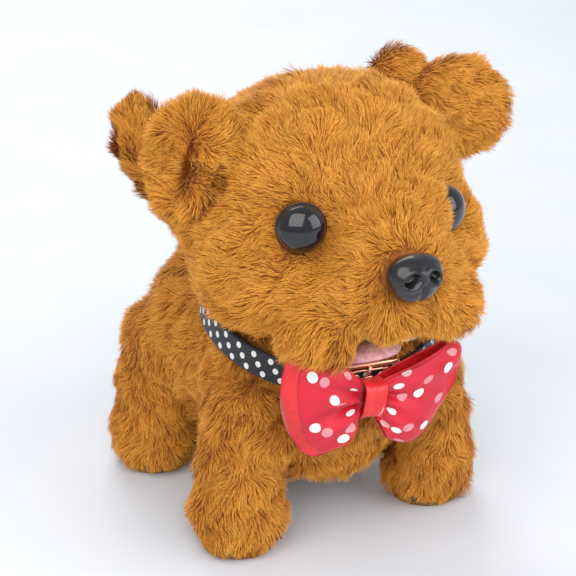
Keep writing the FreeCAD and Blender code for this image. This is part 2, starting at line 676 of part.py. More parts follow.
def make_skull():
    """Two moulded skull shells: the front one carries the snout tube, the back one the neck tabs."""
    shell = cut("skull_shell", skull_egg("skull_outer", 0), skull_egg("skull_inner", "wall"))
    layout = (("skull_front", "skull_y - 40", skull_front_parts), ("skull_back", "skull_y", skull_back_parts))
    for name, y, parts in layout:
        half = doc.addObject("Part::Common", f"{name}_half")
        half.Base = shell
        half.Tool = slab(f"{name}_side", 50, y, 60, 40, 100)
        extra, rooms = parts()
        rooms.append(slab(f"{name}_slot", 8.8, "neck_y - 14", 80, 28, 20))
        piece(cut(name, fuse(f"{name}_mould", half, *extra), *rooms), name)
    pin = rod("jaw_rod", "jaw_pin_radius", 29, -14.5, "jaw_y", "jaw_height")
    piece(group("jaw_pin", pin), "jaw_pin")


def make_head_plush():
    """The stuffed head with its fur, hollow for the skull, open under the neck and behind the jaw."""
    room = egg(
        "skull_room", 0, "skull_y", "skull_height",
        "skull_across + soft_gap", "skull_along + soft_gap", "skull_up + soft_gap",
    )
    rooms = [room, slab("neck_tunnel", 16, "neck_y - 16", 60, 32, 50)]
    rooms.append(rod("snout_tunnel", 7, 40, 0, -68, 107, "Y"))
    rooms.append(tilted(rod("neck_plane", 60, 60, 0, 0, -51, "Z")))
    rooms.append(slab("jaw_room", 15.5, -75, 60, 35, "chin_height - 56"))
    rooms.append(slab("jaw_lug_room", 16, "jaw_y - 6", 80, 14, 26))
    for side in SIDES:
        rooms.append(eye_tool("eye_room", side, "eye_radius + 0.1", 20, 0))
        rooms.append(eye_tool("eye_shank_room", side, "shank_radius + soft_gap", 20, -18))
        rooms.append(ear_form(f"ear_{side}_seat", side))
    rooms.append(egg("nose_room", 0, "nose_y", "nose_height", 9.5, 8.5, 8.5))
    rooms.append(rod("nose_shank_room", 2.2, 20, 0, -80, 109, "Y"))
    piece(cut("head_plush", head_outline("head_form"), *rooms), "head_plush")


def make_eye(side):
    """A dome on a low rim, with a shank through the skull."""
    name, sign = f"eye_{side}", SIDES[side]
    shank_length = 18.8
    dome = doc.addObject("Part::Ellipsoid", f"{name}_dome")
    bind(dome, Radius1="eye_dome", Radius2="eye_radius", Radius3="eye_radius")
    cap = cut(f"{name}_cap", dome, block(f"{name}_base", -10, -10, -10, 20, 20, 10))
    rim = rod(f"{name}_rim", "eye_radius", 0.8, 0, 0, 0, "Z")
    shank = rod(f"{name}_shank", "shank_radius", shank_length, 0, 0, -shank_length, "Z")
    eye = fuse(name, cap, rim, shank)
    piece(eye, name, f"{sign} * {side}_eye_x", f"{side}_eye_y", f"{side}_eye_height", eye_turn(side))


def make_nose():
    """A button with two nostrils, on its shank."""
    dome = egg("nose_dome", 0, "nose_y", "nose_height", 9, 6.5, 8)
    back = block("nose_back", -10, "nose_y + 2.5", 100, 20, 10, 24)
    nostrils = [rod("nostril", 1.9, 5, x, "nose_y - 9", "nose_height + 1.5", "Y") for x in (-3.6, 3.6)]
    shank = rod("nose_shank", "shank_radius", 13.5, 0, "nose_y", 109, "Y")
    piece(fuse("nose", cut("nose_cap", dome, back, *nostrils), shank), "nose")


def make_face():
    """Eyes and nose, and the washers that hold them inside."""
    washers = []
    for side in SIDES:
        make_eye(side)
        washer = eye_tool("washer", side, 4, 1, -17.6)
        washers.append(cut("eye_washer", washer, eye_tool("washer_bore", side, "shank_radius", 3, -18.6)))
    make_nose()
    washer = rod("washer", 4, 1, 0, -65.3, 107.8, "Y")
    washers.append(cut("nose_washer", washer, rod("washer_bore", "shank_radius", 4, 0, -67, 109, "Y")))
    piece(group("button_washers", *washers), "button_washers")


def make_jaw():
    """The lower jaw: a moulded fork on the jaw pin, its furry chin, and the pink felt lining."""
    arms = []
    for x in (11.6, -13.6):
        arms.append(rod("jaw_eye", 3, 2, x, "jaw_y", "jaw_height"))
        rise = "jaw_height - chin_height - 0.4"
        arms.append(block("jaw_arm", x, "jaw_y - 2.5", "chin_height + 0.4", 2, 5, rise))
    arms.append(slab("chin_plate", 13.6, -60, "chin_height", 18.5, 1.4))
    bore = rod("jaw_bore", "jaw_pin_radius + slack", 40, -20, "jaw_y", "jaw_height")
    piece(cut("jaw_frame", fuse("jaw_mould", *arms), bore), "jaw_frame")
    chin = egg("chin_form", 0, -52, "chin_height - 0.1", 13, 9.5, 2.4)
    above = slab("chin_top", 30, -80, "chin_height - 0.3", 60, 10)
    piece(cut("jaw_plush", chin, above), "jaw_plush")
    piece(group("mouth_lining", egg("lining", 0, -56, "chin_height + 2.6", 11, 9, 0.9)), "mouth_lining")


def ear_form(name, side):
    """One ear's flap: the right one folds forward and lies close, the left one stands out."""
    if side == "right":
        return egg(name, -46, -16, 137.5, 8.5, 16.5, 20, Rotation(Vector(0, 1, 0), 20))
    return egg(name, 61.8, -4, 133, 22, 9, 17, Rotation(Vector(0, 1, 0), 22))


def make_ears():
    """Two flap ears, whole: the head has their seats."""
    for side in SIDES:
        piece(group(f"ear_{side}", ear_form(f"ear_{side}_form", side)), f"ear_{side}")


def make_collar():
    """A woven strap round the neck, with its buckle."""
    outer = rod("strap_outer", "collar_inner + collar_thick", "collar_width", 0, 0, "-collar_width / 2", "Z")
    inner = rod("strap_inner", "collar_inner", "collar_width", 0, 0, "-collar_width / 2", "Z")
    piece(cut("collar_strap", tilted(outer), tilted(inner)), "collar_strap")
    frame = block("buckle_frame", -11, "-collar_inner - collar_thick - 1.9", -2.2, 20, 1.8, 8.4)
    hole = block("buckle_hole", -8, "-collar_inner - collar_thick - 4", 0, 14, 6, 4)
    piece(cut("collar_buckle", tilted(frame), tilted(hole)), "collar_buckle")


def bow_lobe(name, sign, back, thick, shrink):
    """One side of the bow: a flat tapered form from the knot out to its wide end."""
    knot, reach = 4.6, SIZE["bow_reach"] - shrink
    low, high = shrink - 16, 14 - shrink
    points = [
        Vector(sign * knot, 0, -4.5), Vector(sign * 14, 0, shrink - 9),
        Vector(sign * reach, 0, low), Vector(sign * (reach - 1), 0, high),
        Vector(sign * 14, 0, 7.2 - shrink), Vector(sign * knot, 0, 4.5),
    ]
    corners = [point + Vector(0, back, 0) for point in points]
    wire = Part.makePolygon(corners + corners[:1])
    lobe = doc.addObject("Part::Feature", name)
    lobe.Shape = Part.Face(wire).extrude(Vector(0, -thick, 0))
    return lobe


def make_bow():
    """Two layers of ribbon, each with two lobes, held by the knot's band."""
    back = SIZE["bow_y"]
    tilt = Rotation(Vector(0, 1, 0), SIZE["bow_tilt"])
    ribbon = [bow_lobe(f"ribbon_{side}", sign, back, 4, 0) for side, sign in SIDES.items()]
    overlay = [bow_lobe(f"overlay_{side}", sign, back - 4.2, 1.8, 1.5) for side, sign in SIDES.items()]
    band = [slab("knot_band", 4.3, "bow_y - 7.5", -6.3, 7.5, 12.6)]
    for name, layers in (("bow_ribbon", ribbon), ("bow_overlay", overlay), ("bow_knot", band)):
        piece(group(name, *layers), name, "bow_x", 0, "bow_height", tilt)


def make_tail():
    """The tail wags on a pin held between the chassis halves: a moulded core in a furry sleeve."""
    wag = Rotation(Vector(0, 1, 0), -SIZE["tail_lean"])
    back = Rotation(Vector(1, 0, 0), -SIZE["tail_back"])
    hub = rod("tail_hub", 4.5, 6, 0, -3, 0, "Y")
    core = rod("tail_core_rod", 2, 44, 0, 0, 0, "Z")
    core.Placement = Placement(Vector(), back)
    bore = rod("tail_bore", "shaft_radius + slack", 20, 0, -10, 0, "Y")
    mould = fuse("tail_mould", hub, core)
    piece(cut("tail_core", mould, bore), "tail_core", 0, "tail_y", "tail_height", wag)
    sleeve = doc.addObject("Part::Cone", "tail_sleeve")
    bind(sleeve, Radius1=7, Radius2=9.5, Height=38)
    tip = doc.addObject("Part::Sphere", "tail_tip")
    bind(tip, Radius=9.6)
    sleeve.Placement = Placement(back.multVec(Vector(0, 0, 12)), back)
    tip.Placement = Placement(back.multVec(Vector(0, 0, 50)), back)
    room = rod("tail_room_rod", "2 + soft_gap", "44 + soft_gap", 0, 0, 0, "Z")
    room.Placement = Placement(Vector(), back)
    fur = fuse("tail_fur", sleeve, tip)
    piece(cut("tail_plush", fur, room), "tail_plush", 0, "tail_y", "tail_height", wag)


def check_model():
    """Stops unless every object recomputed and every sub-part is a valid closed shape."""
    for thing in doc.Objects:
        if any(mark in thing.State for mark in ("Invalid", "Error")):
            raise RuntimeError(f"{thing.Label} did not recompute: {thing.State}")
    for thing in pieces:
        shape = thing.Shape
        if shape.isNull() or not shape.isValid() or not shape.Solids:
            raise RuntimeError(f"{thing.Label} has no valid solid")


def write_parts():
    os.makedirs("parts", exist_ok=True)
    for thing in pieces:
        thing.Shape.exportStep(f"parts/{thing.Label}.step")


def main():
    make_sheet()
    for make in (
        make_chassis, make_belly, make_batteries, make_works, make_gears, make_cranks, make_axles,
        make_legs, make_links, make_body_plush, make_neck, make_skull, make_head_plush, make_face,
        make_jaw, make_ears, make_collar, make_bow, make_tail,
    ):
        make()
        doc.recompute()
    check_model()
    write_parts()
    print(len(pieces), "sub-parts")


main()
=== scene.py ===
"""A walking plush puppy with a dotted bow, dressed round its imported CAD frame.

Shapes are worked out in the CAD sheet's millimetres: x to the toy's left, y to its back, z up,
with x zero on its middle plane and the floor at 8. to_frame() takes them to the frame's metres.
"""

import itertools
import math

import bpy
import numpy as np
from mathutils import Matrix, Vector, kdtree


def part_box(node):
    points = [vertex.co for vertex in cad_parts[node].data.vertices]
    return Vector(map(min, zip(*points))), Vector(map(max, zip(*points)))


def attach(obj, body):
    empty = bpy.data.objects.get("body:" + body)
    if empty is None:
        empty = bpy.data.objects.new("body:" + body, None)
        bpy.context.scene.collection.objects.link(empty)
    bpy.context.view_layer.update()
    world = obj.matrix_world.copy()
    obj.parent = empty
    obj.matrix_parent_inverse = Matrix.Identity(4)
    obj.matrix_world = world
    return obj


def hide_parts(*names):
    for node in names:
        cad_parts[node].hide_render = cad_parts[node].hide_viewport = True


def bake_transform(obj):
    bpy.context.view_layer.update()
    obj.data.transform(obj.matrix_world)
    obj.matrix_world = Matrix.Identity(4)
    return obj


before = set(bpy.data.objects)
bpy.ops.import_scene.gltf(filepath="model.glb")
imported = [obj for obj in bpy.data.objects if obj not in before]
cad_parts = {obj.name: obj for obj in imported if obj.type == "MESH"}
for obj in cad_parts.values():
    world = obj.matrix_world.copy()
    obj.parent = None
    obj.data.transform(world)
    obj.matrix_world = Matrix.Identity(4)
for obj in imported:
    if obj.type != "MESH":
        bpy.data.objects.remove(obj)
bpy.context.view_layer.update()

MM = 0.001
HIP_FRONT_Y = -31.0
HIP_BACK_Y = 32.0
LEG_X = 35.5
EYES = {"left": np.array([25.4, -54.2, 119.6]), "right": np.array([-25.8, -55.6, 123.6])}
NOSE = np.array([-1.2, -78.6, 112.0])

FLOOR = 8.0


def node_middle(node):
    low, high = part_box(node)
    return (low + high) / 2


ORIGIN = np.array([
    node_middle("head_plush").x,
    node_middle("sole_front_left").y - HIP_FRONT_Y * MM,
    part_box("sole_front_left")[0].z - FLOOR * MM,
])


# ---------------------------------------------------------------- small tools

def unit(v):
    v = np.asarray(v, float)
    return v / np.maximum(np.linalg.norm(v, axis=-1, keepdims=True), 1e-9)


def smooth(low, high, value):
    """0 below low, 1 above high, and an even step between."""
    t = np.clip((np.asarray(value, float) - low) / (high - low), 0, 1)
    return t * t * (3 - 2 * t)


def to_frame(points):
    return np.asarray(points, float) * MM + ORIGIN


def turn(points, axis, degrees):
    """Points turned about an axis through zero."""
    a, c, s = unit(axis), math.cos(math.radians(degrees)), math.sin(math.radians(degrees))
    p = np.asarray(points, float)
    return p * c + np.cross(a, p) * s + np.outer(p @ a, a) * (1 - c)


def circle(steps):
    """Angles round a full turn, in radians."""
    return np.linspace(0, 2 * math.pi, steps, endpoint=False)


class Ripple:
    """Smooth random values in space: a sum of waves with seeded directions."""

    def __init__(self, seed, size, waves=14):
        random = np.random.default_rng(seed)
        direction = unit(random.normal(size=(waves, 3)))
        self.k = direction * (2 * np.pi / size) * random.uniform(0.6, 1.6, (waves, 1))
        self.phase = random.uniform(0, 2 * np.pi, waves)
        self.scale = math.sqrt(2 / waves)

    def __call__(self, points):
        return np.sin(points @ self.k.T + self.phase).sum(1) * self.scale


def placed(name, data):
    """An object for a mesh, a light or a camera, in the scene."""
    thing = bpy.data.objects.new(name, data)
    bpy.context.scene.collection.objects.link(thing)
    return thing


def aimed(thing, place, direction):
    """Puts a camera or a light somewhere and turns it to look this way."""
    thing.location = place
    thing.rotation_mode = "QUATERNION"
    thing.rotation_quaternion = direction.to_track_quat("-Z", "Y")
    return thing


def mesh_piece(name, points, faces, materials=(), uv=None):
    """A mesh in toy millimetres, as an object in the frame's metres. uv is one pair per vertex."""
    mesh = bpy.data.meshes.new(name)
    mesh.from_pydata(to_frame(points).tolist(), [], [tuple(int(i) for i in f) for f in faces])
    if uv is not None:
        layer = mesh.uv_layers.new(name="lengths")
        loops = np.zeros(len(mesh.loops), int)
        mesh.loops.foreach_get("vertex_index", loops)
        layer.data.foreach_set("uv", np.asarray(uv, float)[loops].astype(np.float32).ravel())
    mesh.polygons.foreach_set("use_smooth", [True] * len(mesh.polygons))
    mesh.validate()
    for material in materials:
        mesh.materials.append(material)
    return placed(name, mesh)


def applied(thing):
    """Bakes an object's modifiers into its mesh."""
    graph = bpy.context.evaluated_depsgraph_get()
    mesh = bpy.data.meshes.new_from_object(thing.evaluated_get(graph))
    thing.modifiers.clear()
    thing.data = mesh
    return thing


def grid_faces(rows, columns, wrap_rows=False, wrap_columns=False):
    faces = []
    for i in range(rows if wrap_rows else rows - 1):
        for j in range(columns if wrap_columns else columns - 1):
            a, b = i * columns + j, i * columns + (j + 1) % columns
            c, d = ((i + 1) % rows) * columns + (j + 1) % columns, ((i + 1) % rows) * columns + j
            faces.append((a, b, c, d))
    return faces


def ball(rings=24, sides=36):
    """A unit sphere's points and faces, poles on z."""
    points = [(0, 0, 1)]
    for i in range(1, rings):
        a = math.pi * i / rings
        b = 2 * math.pi / sides
        points += [
            (math.sin(a) * math.cos(b * j), math.sin(a) * math.sin(b * j), math.cos(a)) for j in range(sides)
        ]
    points.append((0, 0, -1))
    faces = [(0, 1 + j, 1 + (j + 1) % sides) for j in range(sides)]
    for i in range(rings - 2):
        start = 1 + i * sides
        for j in range(sides):
            k = (j + 1) % sides
            faces.append((start + j, start + sides + j, start + sides + k, start + k))
    last, end = 1 + (rings - 2) * sides, len(points) - 1
    faces += [(last + (j + 1) % sides, last + j, end) for j in range(sides)]
    return np.array(points, float), faces


def blob(middle, sizes):
    """An ellipsoid's points and faces."""
    points, faces = ball()
    return points * sizes + middle, faces


def merged_skin(name, blobs, rounds, voxel=2.2):
    """Several closed forms melted into one skin: voxel is in millimetres."""
    points, faces, count = [], [], 0
    for p, f in blobs:
        points.append(p)
        faces += [tuple(i + count for i in face) for face in f]
        count += len(p)
    thing = mesh_piece(name, np.vstack(points), faces)
    remesh = thing.modifiers.new("melt", "REMESH")
    remesh.mode = "VOXEL"
    remesh.voxel_size = voxel * MM
    relax = thing.modifiers.new("relax", "SMOOTH")
    relax.iterations = rounds
    relax.factor = 0.5
    applied(thing)
    thing.data.polygons.foreach_set("use_smooth", [True] * len(thing.data.polygons))
    return thing


def toy_points(thing):
    co = np.zeros(len(thing.data.vertices) * 3, np.float32)
    thing.data.vertices.foreach_get("co", co)
    return (co.reshape(-1, 3).astype(float) - ORIGIN) / MM


def set_toy_points(thing, points):
    thing.data.vertices.foreach_set("co", to_frame(points).astype(np.float32).ravel())
    thing.data.update()


# ---------------------------------------------------------------- materials

def principled(name, colour, roughness, **sockets):
    """A material whose even values sit on the shader's own sockets."""
    material = bpy.data.materials.new(name)
    material.use_nodes = True
    shader = material.node_tree.nodes["Principled BSDF"]
    shader.inputs["Base Color"].default_value = (*colour, 1)
    shader.inputs["Roughness"].default_value = roughness
    for socket, value in sockets.items():
        shader.inputs[socket.replace("_", " ")].default_value = value
    return material


def add_node(material, kind, **values):
    node = material.node_tree.nodes.new(kind)
    for name, value in values.items():
        if name in node.inputs:
            node.inputs[name].default_value = value
        else:
            setattr(node, name, value)
    return node


def wire(material, source, output, target, socket):
    material.node_tree.links.new(source.outputs[output], target.inputs[socket])


def shader_of(material):
    return material.node_tree.nodes["Principled BSDF"]


def math_node(material, operation, *values):
    """A maths node whose inputs are sockets or plain numbers; gives its output socket."""
    node = add_node(material, "ShaderNodeMath", operation=operation)
    for socket, value in zip(node.inputs, values):
        if isinstance(value, (int, float)):
            socket.default_value = value
        else:
            material.node_tree.links.new(value, socket)
    return node.outputs[0]


def mottled(material, dark, light, size, detail=4.0):
    """Colour that wanders between two shades, with noise of this size in millimetres."""
    place = add_node(material, "ShaderNodeTexCoord")
    noise = add_node(material, "ShaderNodeTexNoise", Scale=1 / (size * MM), Detail=detail)
    ramp = add_node(material, "ShaderNodeValToRGB")
    ramp.color_ramp.elements[0].position, ramp.color_ramp.elements[1].position = 0.35, 0.65
    ramp.color_ramp.elements[0].color, ramp.color_ramp.elements[1].color = (*dark, 1), (*light, 1)
    wire(material, place, "Object", noise, "Vector")
    wire(material, noise, "Fac", ramp, "Fac")
    wire(material, ramp, "Color", shader_of(material), "Base Color")
    return material


def raised(material, height, strength, distance):
    """Lets an output stand out as a bump: distance is in millimetres."""
    bump = add_node(material, "ShaderNodeBump", Strength=strength, Distance=distance * MM)
    material.node_tree.links.new(height, bump.inputs["Height"])
    wire(material, bump, "Normal", shader_of(material), "Normal")
    return material


def grained(material, size, strength, distance=0.05):
    """A fine raised grain: size and depth in millimetres."""
    place = add_node(material, "ShaderNodeTexCoord")
    noise = add_node(material, "ShaderNodeTexNoise", Scale=1 / (size * MM), Detail=3.0)
    wire(material, place, "Object", noise, "Vector")
    return raised(material, noise.outputs["Fac"], strength, distance)


def worn(material, size, detail, low, high):
    """Roughness that wanders between two values, with noise of this size in millimetres."""
    place = add_node(material, "ShaderNodeTexCoord")
    noise = add_node(material, "ShaderNodeTexNoise", Scale=1 / (size * MM), Detail=detail)
    ramp = add_node(material, "ShaderNodeMapRange")
    ramp.inputs["To Min"].default_value = low
    ramp.inputs["To Max"].default_value = high
    wire(material, place, "Object", noise, "Vector")
    wire(material, noise, "Fac", ramp, "Value")
    wire(material, ramp, "Result", shader_of(material), "Roughness")
    return material


# Fur: a root darkened as painted shade deep in the coat, a middle and a light tip, each in a few shades.
# Linear colours.
FUR_ROOT_PAINTED_SHADE = (0.430, 0.136, 0.014)
FUR_MIDDLE = (0.620, 0.232, 0.026)
FUR_TIP = (0.770, 0.352, 0.052)
FUR_SHADES = (0.84, 0.94, 1.0, 1.08)


def fur_materials():
    """Three materials for each shade, in the order that fur() gives to its faces."""
    made = []
    # The root's darker colour is painted shade, standing for the shade deep among the strands.
    parts = (("root", FUR_ROOT_PAINTED_SHADE, 0.85), ("middle", FUR_MIDDLE, 0.62), ("tip", FUR_TIP, 0.55))
    for number, shade in enumerate(FUR_SHADES):
        for part, colour, rough in parts:
            tint = tuple(min(1.0, c * shade) for c in colour)
            made.append(principled(
                f"fur_{part}_{number}", tint, rough, Sheen_Weight=0.12, Sheen_Roughness=0.5,
                Sheen_Tint=(1.0, 0.55, 0.20, 1), Specular_IOR_Level=0.15,
            ))
    return made


# ---------------------------------------------------------------- fur

STRAND_POINTS = 7
STRAND_WIDTH = 0.28
STRANDS_IN_LOCK = 4
LOCK_PULL = (0.03, 0.11, 0.22)
SPAN_WIDTHS = (1.0, 0.85, 0.55)
LEAST_LEAN, MOST_LEAN = 4, 84


def skin_samples(skin, density, random):
    """Random places on a skin, with their normals: density is how many per square millimetre."""
    mesh = skin.data
    mesh.calc_loop_triangles()
    count = len(mesh.loop_triangles)
    corners = np.zeros(count * 3, np.int32)
    mesh.loop_triangles.foreach_get("vertices", corners)
    corners = corners.reshape(-1, 3)
    places = toy_points(skin)
    normals = np.zeros(len(mesh.vertices) * 3, np.float32)
    mesh.vertices.foreach_get("normal", normals)
    normals = normals.reshape(-1, 3)
    a, b, c = (places[corners[:, i]] for i in range(3))
    areas = np.linalg.norm(np.cross(b - a, c - a), axis=1) / 2
    total = int(areas.sum() * density)
    chosen = random.choice(count, total, p=areas / areas.sum())
    u, v = random.random(total), random.random(total)
    over = u + v > 1
    u[over], v[over] = 1 - u[over], 1 - v[over]
    mix = np.stack([1 - u - v, u, v], 1)[:, :, None]
    return (places[corners[chosen]] * mix).sum(1), unit((normals[corners[chosen]] * mix).sum(1))


def gathered(points, random):
    """Moves each strand's outer points towards its nearest guide strand's, so that hairs lie in locks."""
    total = len(points)
    guides = random.choice(total, max(1, total // STRANDS_IN_LOCK), replace=False)
    tree = kdtree.KDTree(len(guides))
    for i, g in enumerate(guides):
        tree.insert(Vector(points[g, 1]), i)
    tree.balance()
    nearest = np.array([guides[tree.find(Vector(p))[1]] for p in points[:, 1]])
    pull = random.uniform(0.55, 1.0, total)[:, None]
    for step, amount in enumerate(LOCK_PULL, 1):
        points[:, step] += (points[nearest, step] - points[:, step]) * amount * pull
    return nearest


def fur(name, skin, density, length, comb, seed, lean=(34, 58, 72), keep=None, clear=None, stand=None):
    """Strands on a skin as flat ribbons of three parts.

    length, comb, keep and stand depend on place: how long, which way, where at all, how far laid down.
    lean is each part's angle from upright in degrees, and clear leaves out strands by their points.
    """
    random = np.random.default_rng(seed)
    root, normal = skin_samples(skin, density, random)
    if keep is not None:
        chosen = keep(root, normal)
        root, normal = root[chosen], normal[chosen]
    total = len(root)
    flow = comb(root, normal)
    flow = flow - (flow * normal).sum(1, keepdims=True) * normal
    upright = 0.25 + 0.75 * smooth(0.0, 0.55, np.linalg.norm(flow, axis=1))
    if stand is not None:
        upright = upright * stand(root)
    flow = unit(flow)
    across = np.cross(normal, flow)
    swirl = 24 * Ripple(seed + 5, 16)(root) + 16 * Ripple(seed + 6, 6)(root) + random.normal(0, 11, total)
    swirl = np.radians(swirl)
    flow = flow * np.cos(swirl)[:, None] + across * np.sin(swirl)[:, None]
    size = length(root, normal) * (1 + 0.16 * Ripple(seed + 7, 11)(root)) * random.uniform(0.72, 1.12, total)
    tip_over = upright * (1 + 0.16 * Ripple(seed + 8, 9)(root) + random.normal(0, 0.10, total))
    points = np.zeros((total, 4, 3))
    points[:, 0] = root - normal * 0.4
    for step in range(3):
        angle = np.radians(np.clip(lean[step] * tip_over, LEAST_LEAN, MOST_LEAN))
        heading = normal * np.cos(angle)[:, None] + flow * np.sin(angle)[:, None]
        points[:, step + 1] = points[:, step] + heading * (size / 3)[:, None]
    nearest = gathered(points, random)
    points[:, :, 2] = np.maximum(points[:, :, 2], FLOOR + 0.3)
    roll = np.radians(random.uniform(-38, 38, total))
    spans = [unit(points[:, i + 1] - points[:, i]) for i in range(3)]
    ribbon = np.zeros((total, STRAND_POINTS, 3))
    for step, share in enumerate(SPAN_WIDTHS):
        along = spans[step]
        side = unit(np.cross(along, normal))
        up = np.cross(side, along)
        side = side * np.cos(roll)[:, None] + up * np.sin(roll)[:, None]
        ribbon[:, 2 * step] = points[:, step] - side * STRAND_WIDTH * share / 2
        ribbon[:, 2 * step + 1] = points[:, step] + side * STRAND_WIDTH * share / 2
    ribbon[:, 6] = points[:, 3]
    tone = 0.55 * Ripple(seed + 9, 13)(root) + random.normal(0, 0.6, total)[nearest]
    tone = tone + random.normal(0, 0.55, total)
    shade = np.digitize(tone, (-0.75, 0.05, 0.85))
    if clear is not None:
        good = clear(points)
        ribbon, shade, normal = ribbon[good], shade[good], normal[good]
    return strands_mesh(name, ribbon, shade, normal)


SOFT_SHADING = 0.52
LIFTED_SHADING = np.array([0, 0, 0.28])


def strands_mesh(name, ribbon, shade, normal):
    """The ribbons as one mesh, shaded partly by the skin under them."""
    total = len(ribbon)
    mesh = bpy.data.meshes.new(name)
    mesh.vertices.add(total * STRAND_POINTS)
    mesh.vertices.foreach_set("co", to_frame(ribbon.reshape(-1, 3)).astype(np.float32).ravel())
    pattern = np.array([0, 1, 3, 2, 2, 3, 5, 4, 4, 5, 6])
    part = np.arange(3)
    strand = np.arange(total)[:, None]
    loops = (pattern + strand * STRAND_POINTS).ravel()
    mesh.loops.add(len(loops))
    mesh.loops.foreach_set("vertex_index", loops.astype(np.int32))
    mesh.polygons.add(total * 3)
    first = part * 4 + strand * len(pattern)
    mesh.polygons.foreach_set("loop_start", first.ravel().astype(np.int32))
    mesh.polygons.foreach_set("material_index", (shade[:, None] * 3 + part).ravel().astype(np.int32))
    mesh.polygons.foreach_set("use_smooth", np.ones(total * 3, bool))
    mesh.update(calc_edges=True)
    own = np.zeros(total * STRAND_POINTS * 3, np.float32)
    mesh.vertices.foreach_get("normal", own)
    own = own.reshape(total, STRAND_POINTS, 3)
    own *= np.sign((own * normal[:, None, :]).sum(2, keepdims=True) + 1e-6)
    shown = unit(own * (1 - SOFT_SHADING) + normal[:, None, :] * SOFT_SHADING + LIFTED_SHADING)
    mesh.normals_split_custom_set_from_vertices(shown.reshape(-1, 3).astype(np.float32))
    for material in FUR:
        mesh.materials.append(material)
    return placed(name, mesh)


# ---------------------------------------------------------------- the stuffed skins

def head_skin():
    return merged_skin("head_skin", [
        blob((0, -19, 118), (46, 36, 36)),
        blob((22.5, -35, 104), (24.5, 21.5, 20)),
        blob((-22.5, -35, 104), (24.5, 21.5, 20)),
        blob((0, -57, 102), (27, 19, 13.5)),
        blob((2.5, -59, 112), (18, 15, 14)),
        blob((11, -55, 120), (12, 9, 12)),
        blob((18, -61, 94.5), (13, 13, 10)),
        blob((-22, -59, 93.5), (12, 13, 11)),
        blob((1, -64, 97.6), (18, 12, 9)),
    ], rounds=8)


# The belly plate's underside, half width and ends.
BELLY = 24.5
BELLY_HALF = 19.0
BELLY_ENDS = (-31.0, 45.0)
HEM_START = 36.0
HEM_STRETCH = 1.35


def over_plate(points, margin):
    """Which points lie over the belly plate, with a margin outside its edge."""
    across = np.abs(points[:, 0]) < BELLY_HALF + margin
    return across & (points[:, 1] > BELLY_ENDS[0] - margin) & (points[:, 1] < BELLY_ENDS[1] + margin)


def body_skin():
    """Chest, middle, rump and neck, drawn down to a hem that hides the belly plate's edge."""
    thing = merged_skin("body_skin", [
        blob((0, -18, 60), (37.5, 31, 33)),
        blob((0, 5, 60), (37, 35, 32)),
        blob((0, 20, 58), (38, 35, 34)),
        blob((0, -20, 84), (33.5, 31, 20)),
        blob((0, -8, 43), (32, 36, 21.5)),
        blob((0, 21, 43), (32, 37, 21.5)),
    ], rounds=8)
    points = toy_points(thing)
    low = points[:, 2] < HEM_START
    points[low, 2] = HEM_START - HEM_STRETCH * (HEM_START - points[low, 2])
    under = over_plate(points, 0.4) & (points[:, 2] < BELLY + 6)
    points[under, 2] = np.maximum(points[under, 2], BELLY + 3.0)
    set_toy_points(thing, points)
    return thing


def leg_skin(name, side, y):
    """A stubby leg: shoulder, shin and a foot that spreads a little, flat underneath."""
    x = side * LEG_X
    thing = merged_skin(name, [
        blob((x - side * 5, y, 51), (13, 18, 16)),
        blob((x - side * 1, y - 0.5, 36), (13, 14, 19)),
        blob((x, y - 0.5, 24), (13.5, 14, 14)),
        blob((x, y - 0.5, 19), (14.5, 15, 12.5)),
    ], rounds=6)
    points = toy_points(thing)
    points[:, 2] = np.maximum(points[:, 2], FLOOR + 1.7)
    set_toy_points(thing, points)
    return thing


# The tail's middle line, up and over to the toy's right, and its radius at even steps.
TAIL_LINE = [(0, 56, 66), (-2.5, 61, 77), (-9, 65, 89), (-16, 68, 101), (-20.5, 70, 111), (-21.5, 71, 118.5)]
TAIL_RADII = [6.4, 7.0, 7.8, 8.9, 9.6, 7.4]


def smooth_line(points, count):
    """Points along a smooth line through the given ones, at even steps of the parameter."""
    points = np.asarray(points, float)
    ends = np.vstack([2 * points[0] - points[1], points, 2 * points[-1] - points[-2]])
    made = []
    for t in np.linspace(0, len(points) - 1.0001, count):
        i, f = int(t), t - int(t)
        a, b, c, d = ends[i:i + 4]
        bend = (2 * a - 5 * b + 4 * c - d) * f * f + (3 * b - a - 3 * c + d) * f ** 3
        made.append(0.5 * (2 * b + (c - a) * f + bend))
    return np.array(made)


def rings_along(line, radii, sides, hint, closed=False):
    """A ring of points square to a line at each of its points: hint is a direction the line never takes."""
    if closed:
        along = unit(np.roll(line, -1, axis=0) - np.roll(line, 1, axis=0))
    else:
        along = unit(np.gradient(line, axis=0))
    side = unit(np.cross(along, hint))
    up = np.cross(side, along)
    turns = circle(sides)
    rings = [
        line[i] + radii[i] * (np.outer(np.cos(turns), side[i]) + np.outer(np.sin(turns), up[i]))
        for i in range(len(line))
    ]
    return np.vstack(rings)


def tube(line, radii):
    """A closed tube round a line: its points and faces."""
    sides = 20
    points = np.vstack([rings_along(line, radii, sides, (0.31, 0.94, 0.12)), line[:1], line[-1:]])
    faces = grid_faces(len(line), sides, wrap_columns=True)
    first, last, base = len(points) - 2, len(points) - 1, (len(line) - 1) * sides
    faces += [(first, (j + 1) % sides, j) for j in range(sides)]
    faces += [(last, base + j, base + (j + 1) % sides) for j in range(sides)]
    return points, faces


def tube_ring(line, radii):
    """A tube round a closed line."""
    sides = 16
    points = rings_along(line, radii, sides, (1.0, 0.05, 0.02), closed=True)
    return points, grid_faces(len(line), sides, wrap_rows=True, wrap_columns=True)


TAIL_STEPS = 40


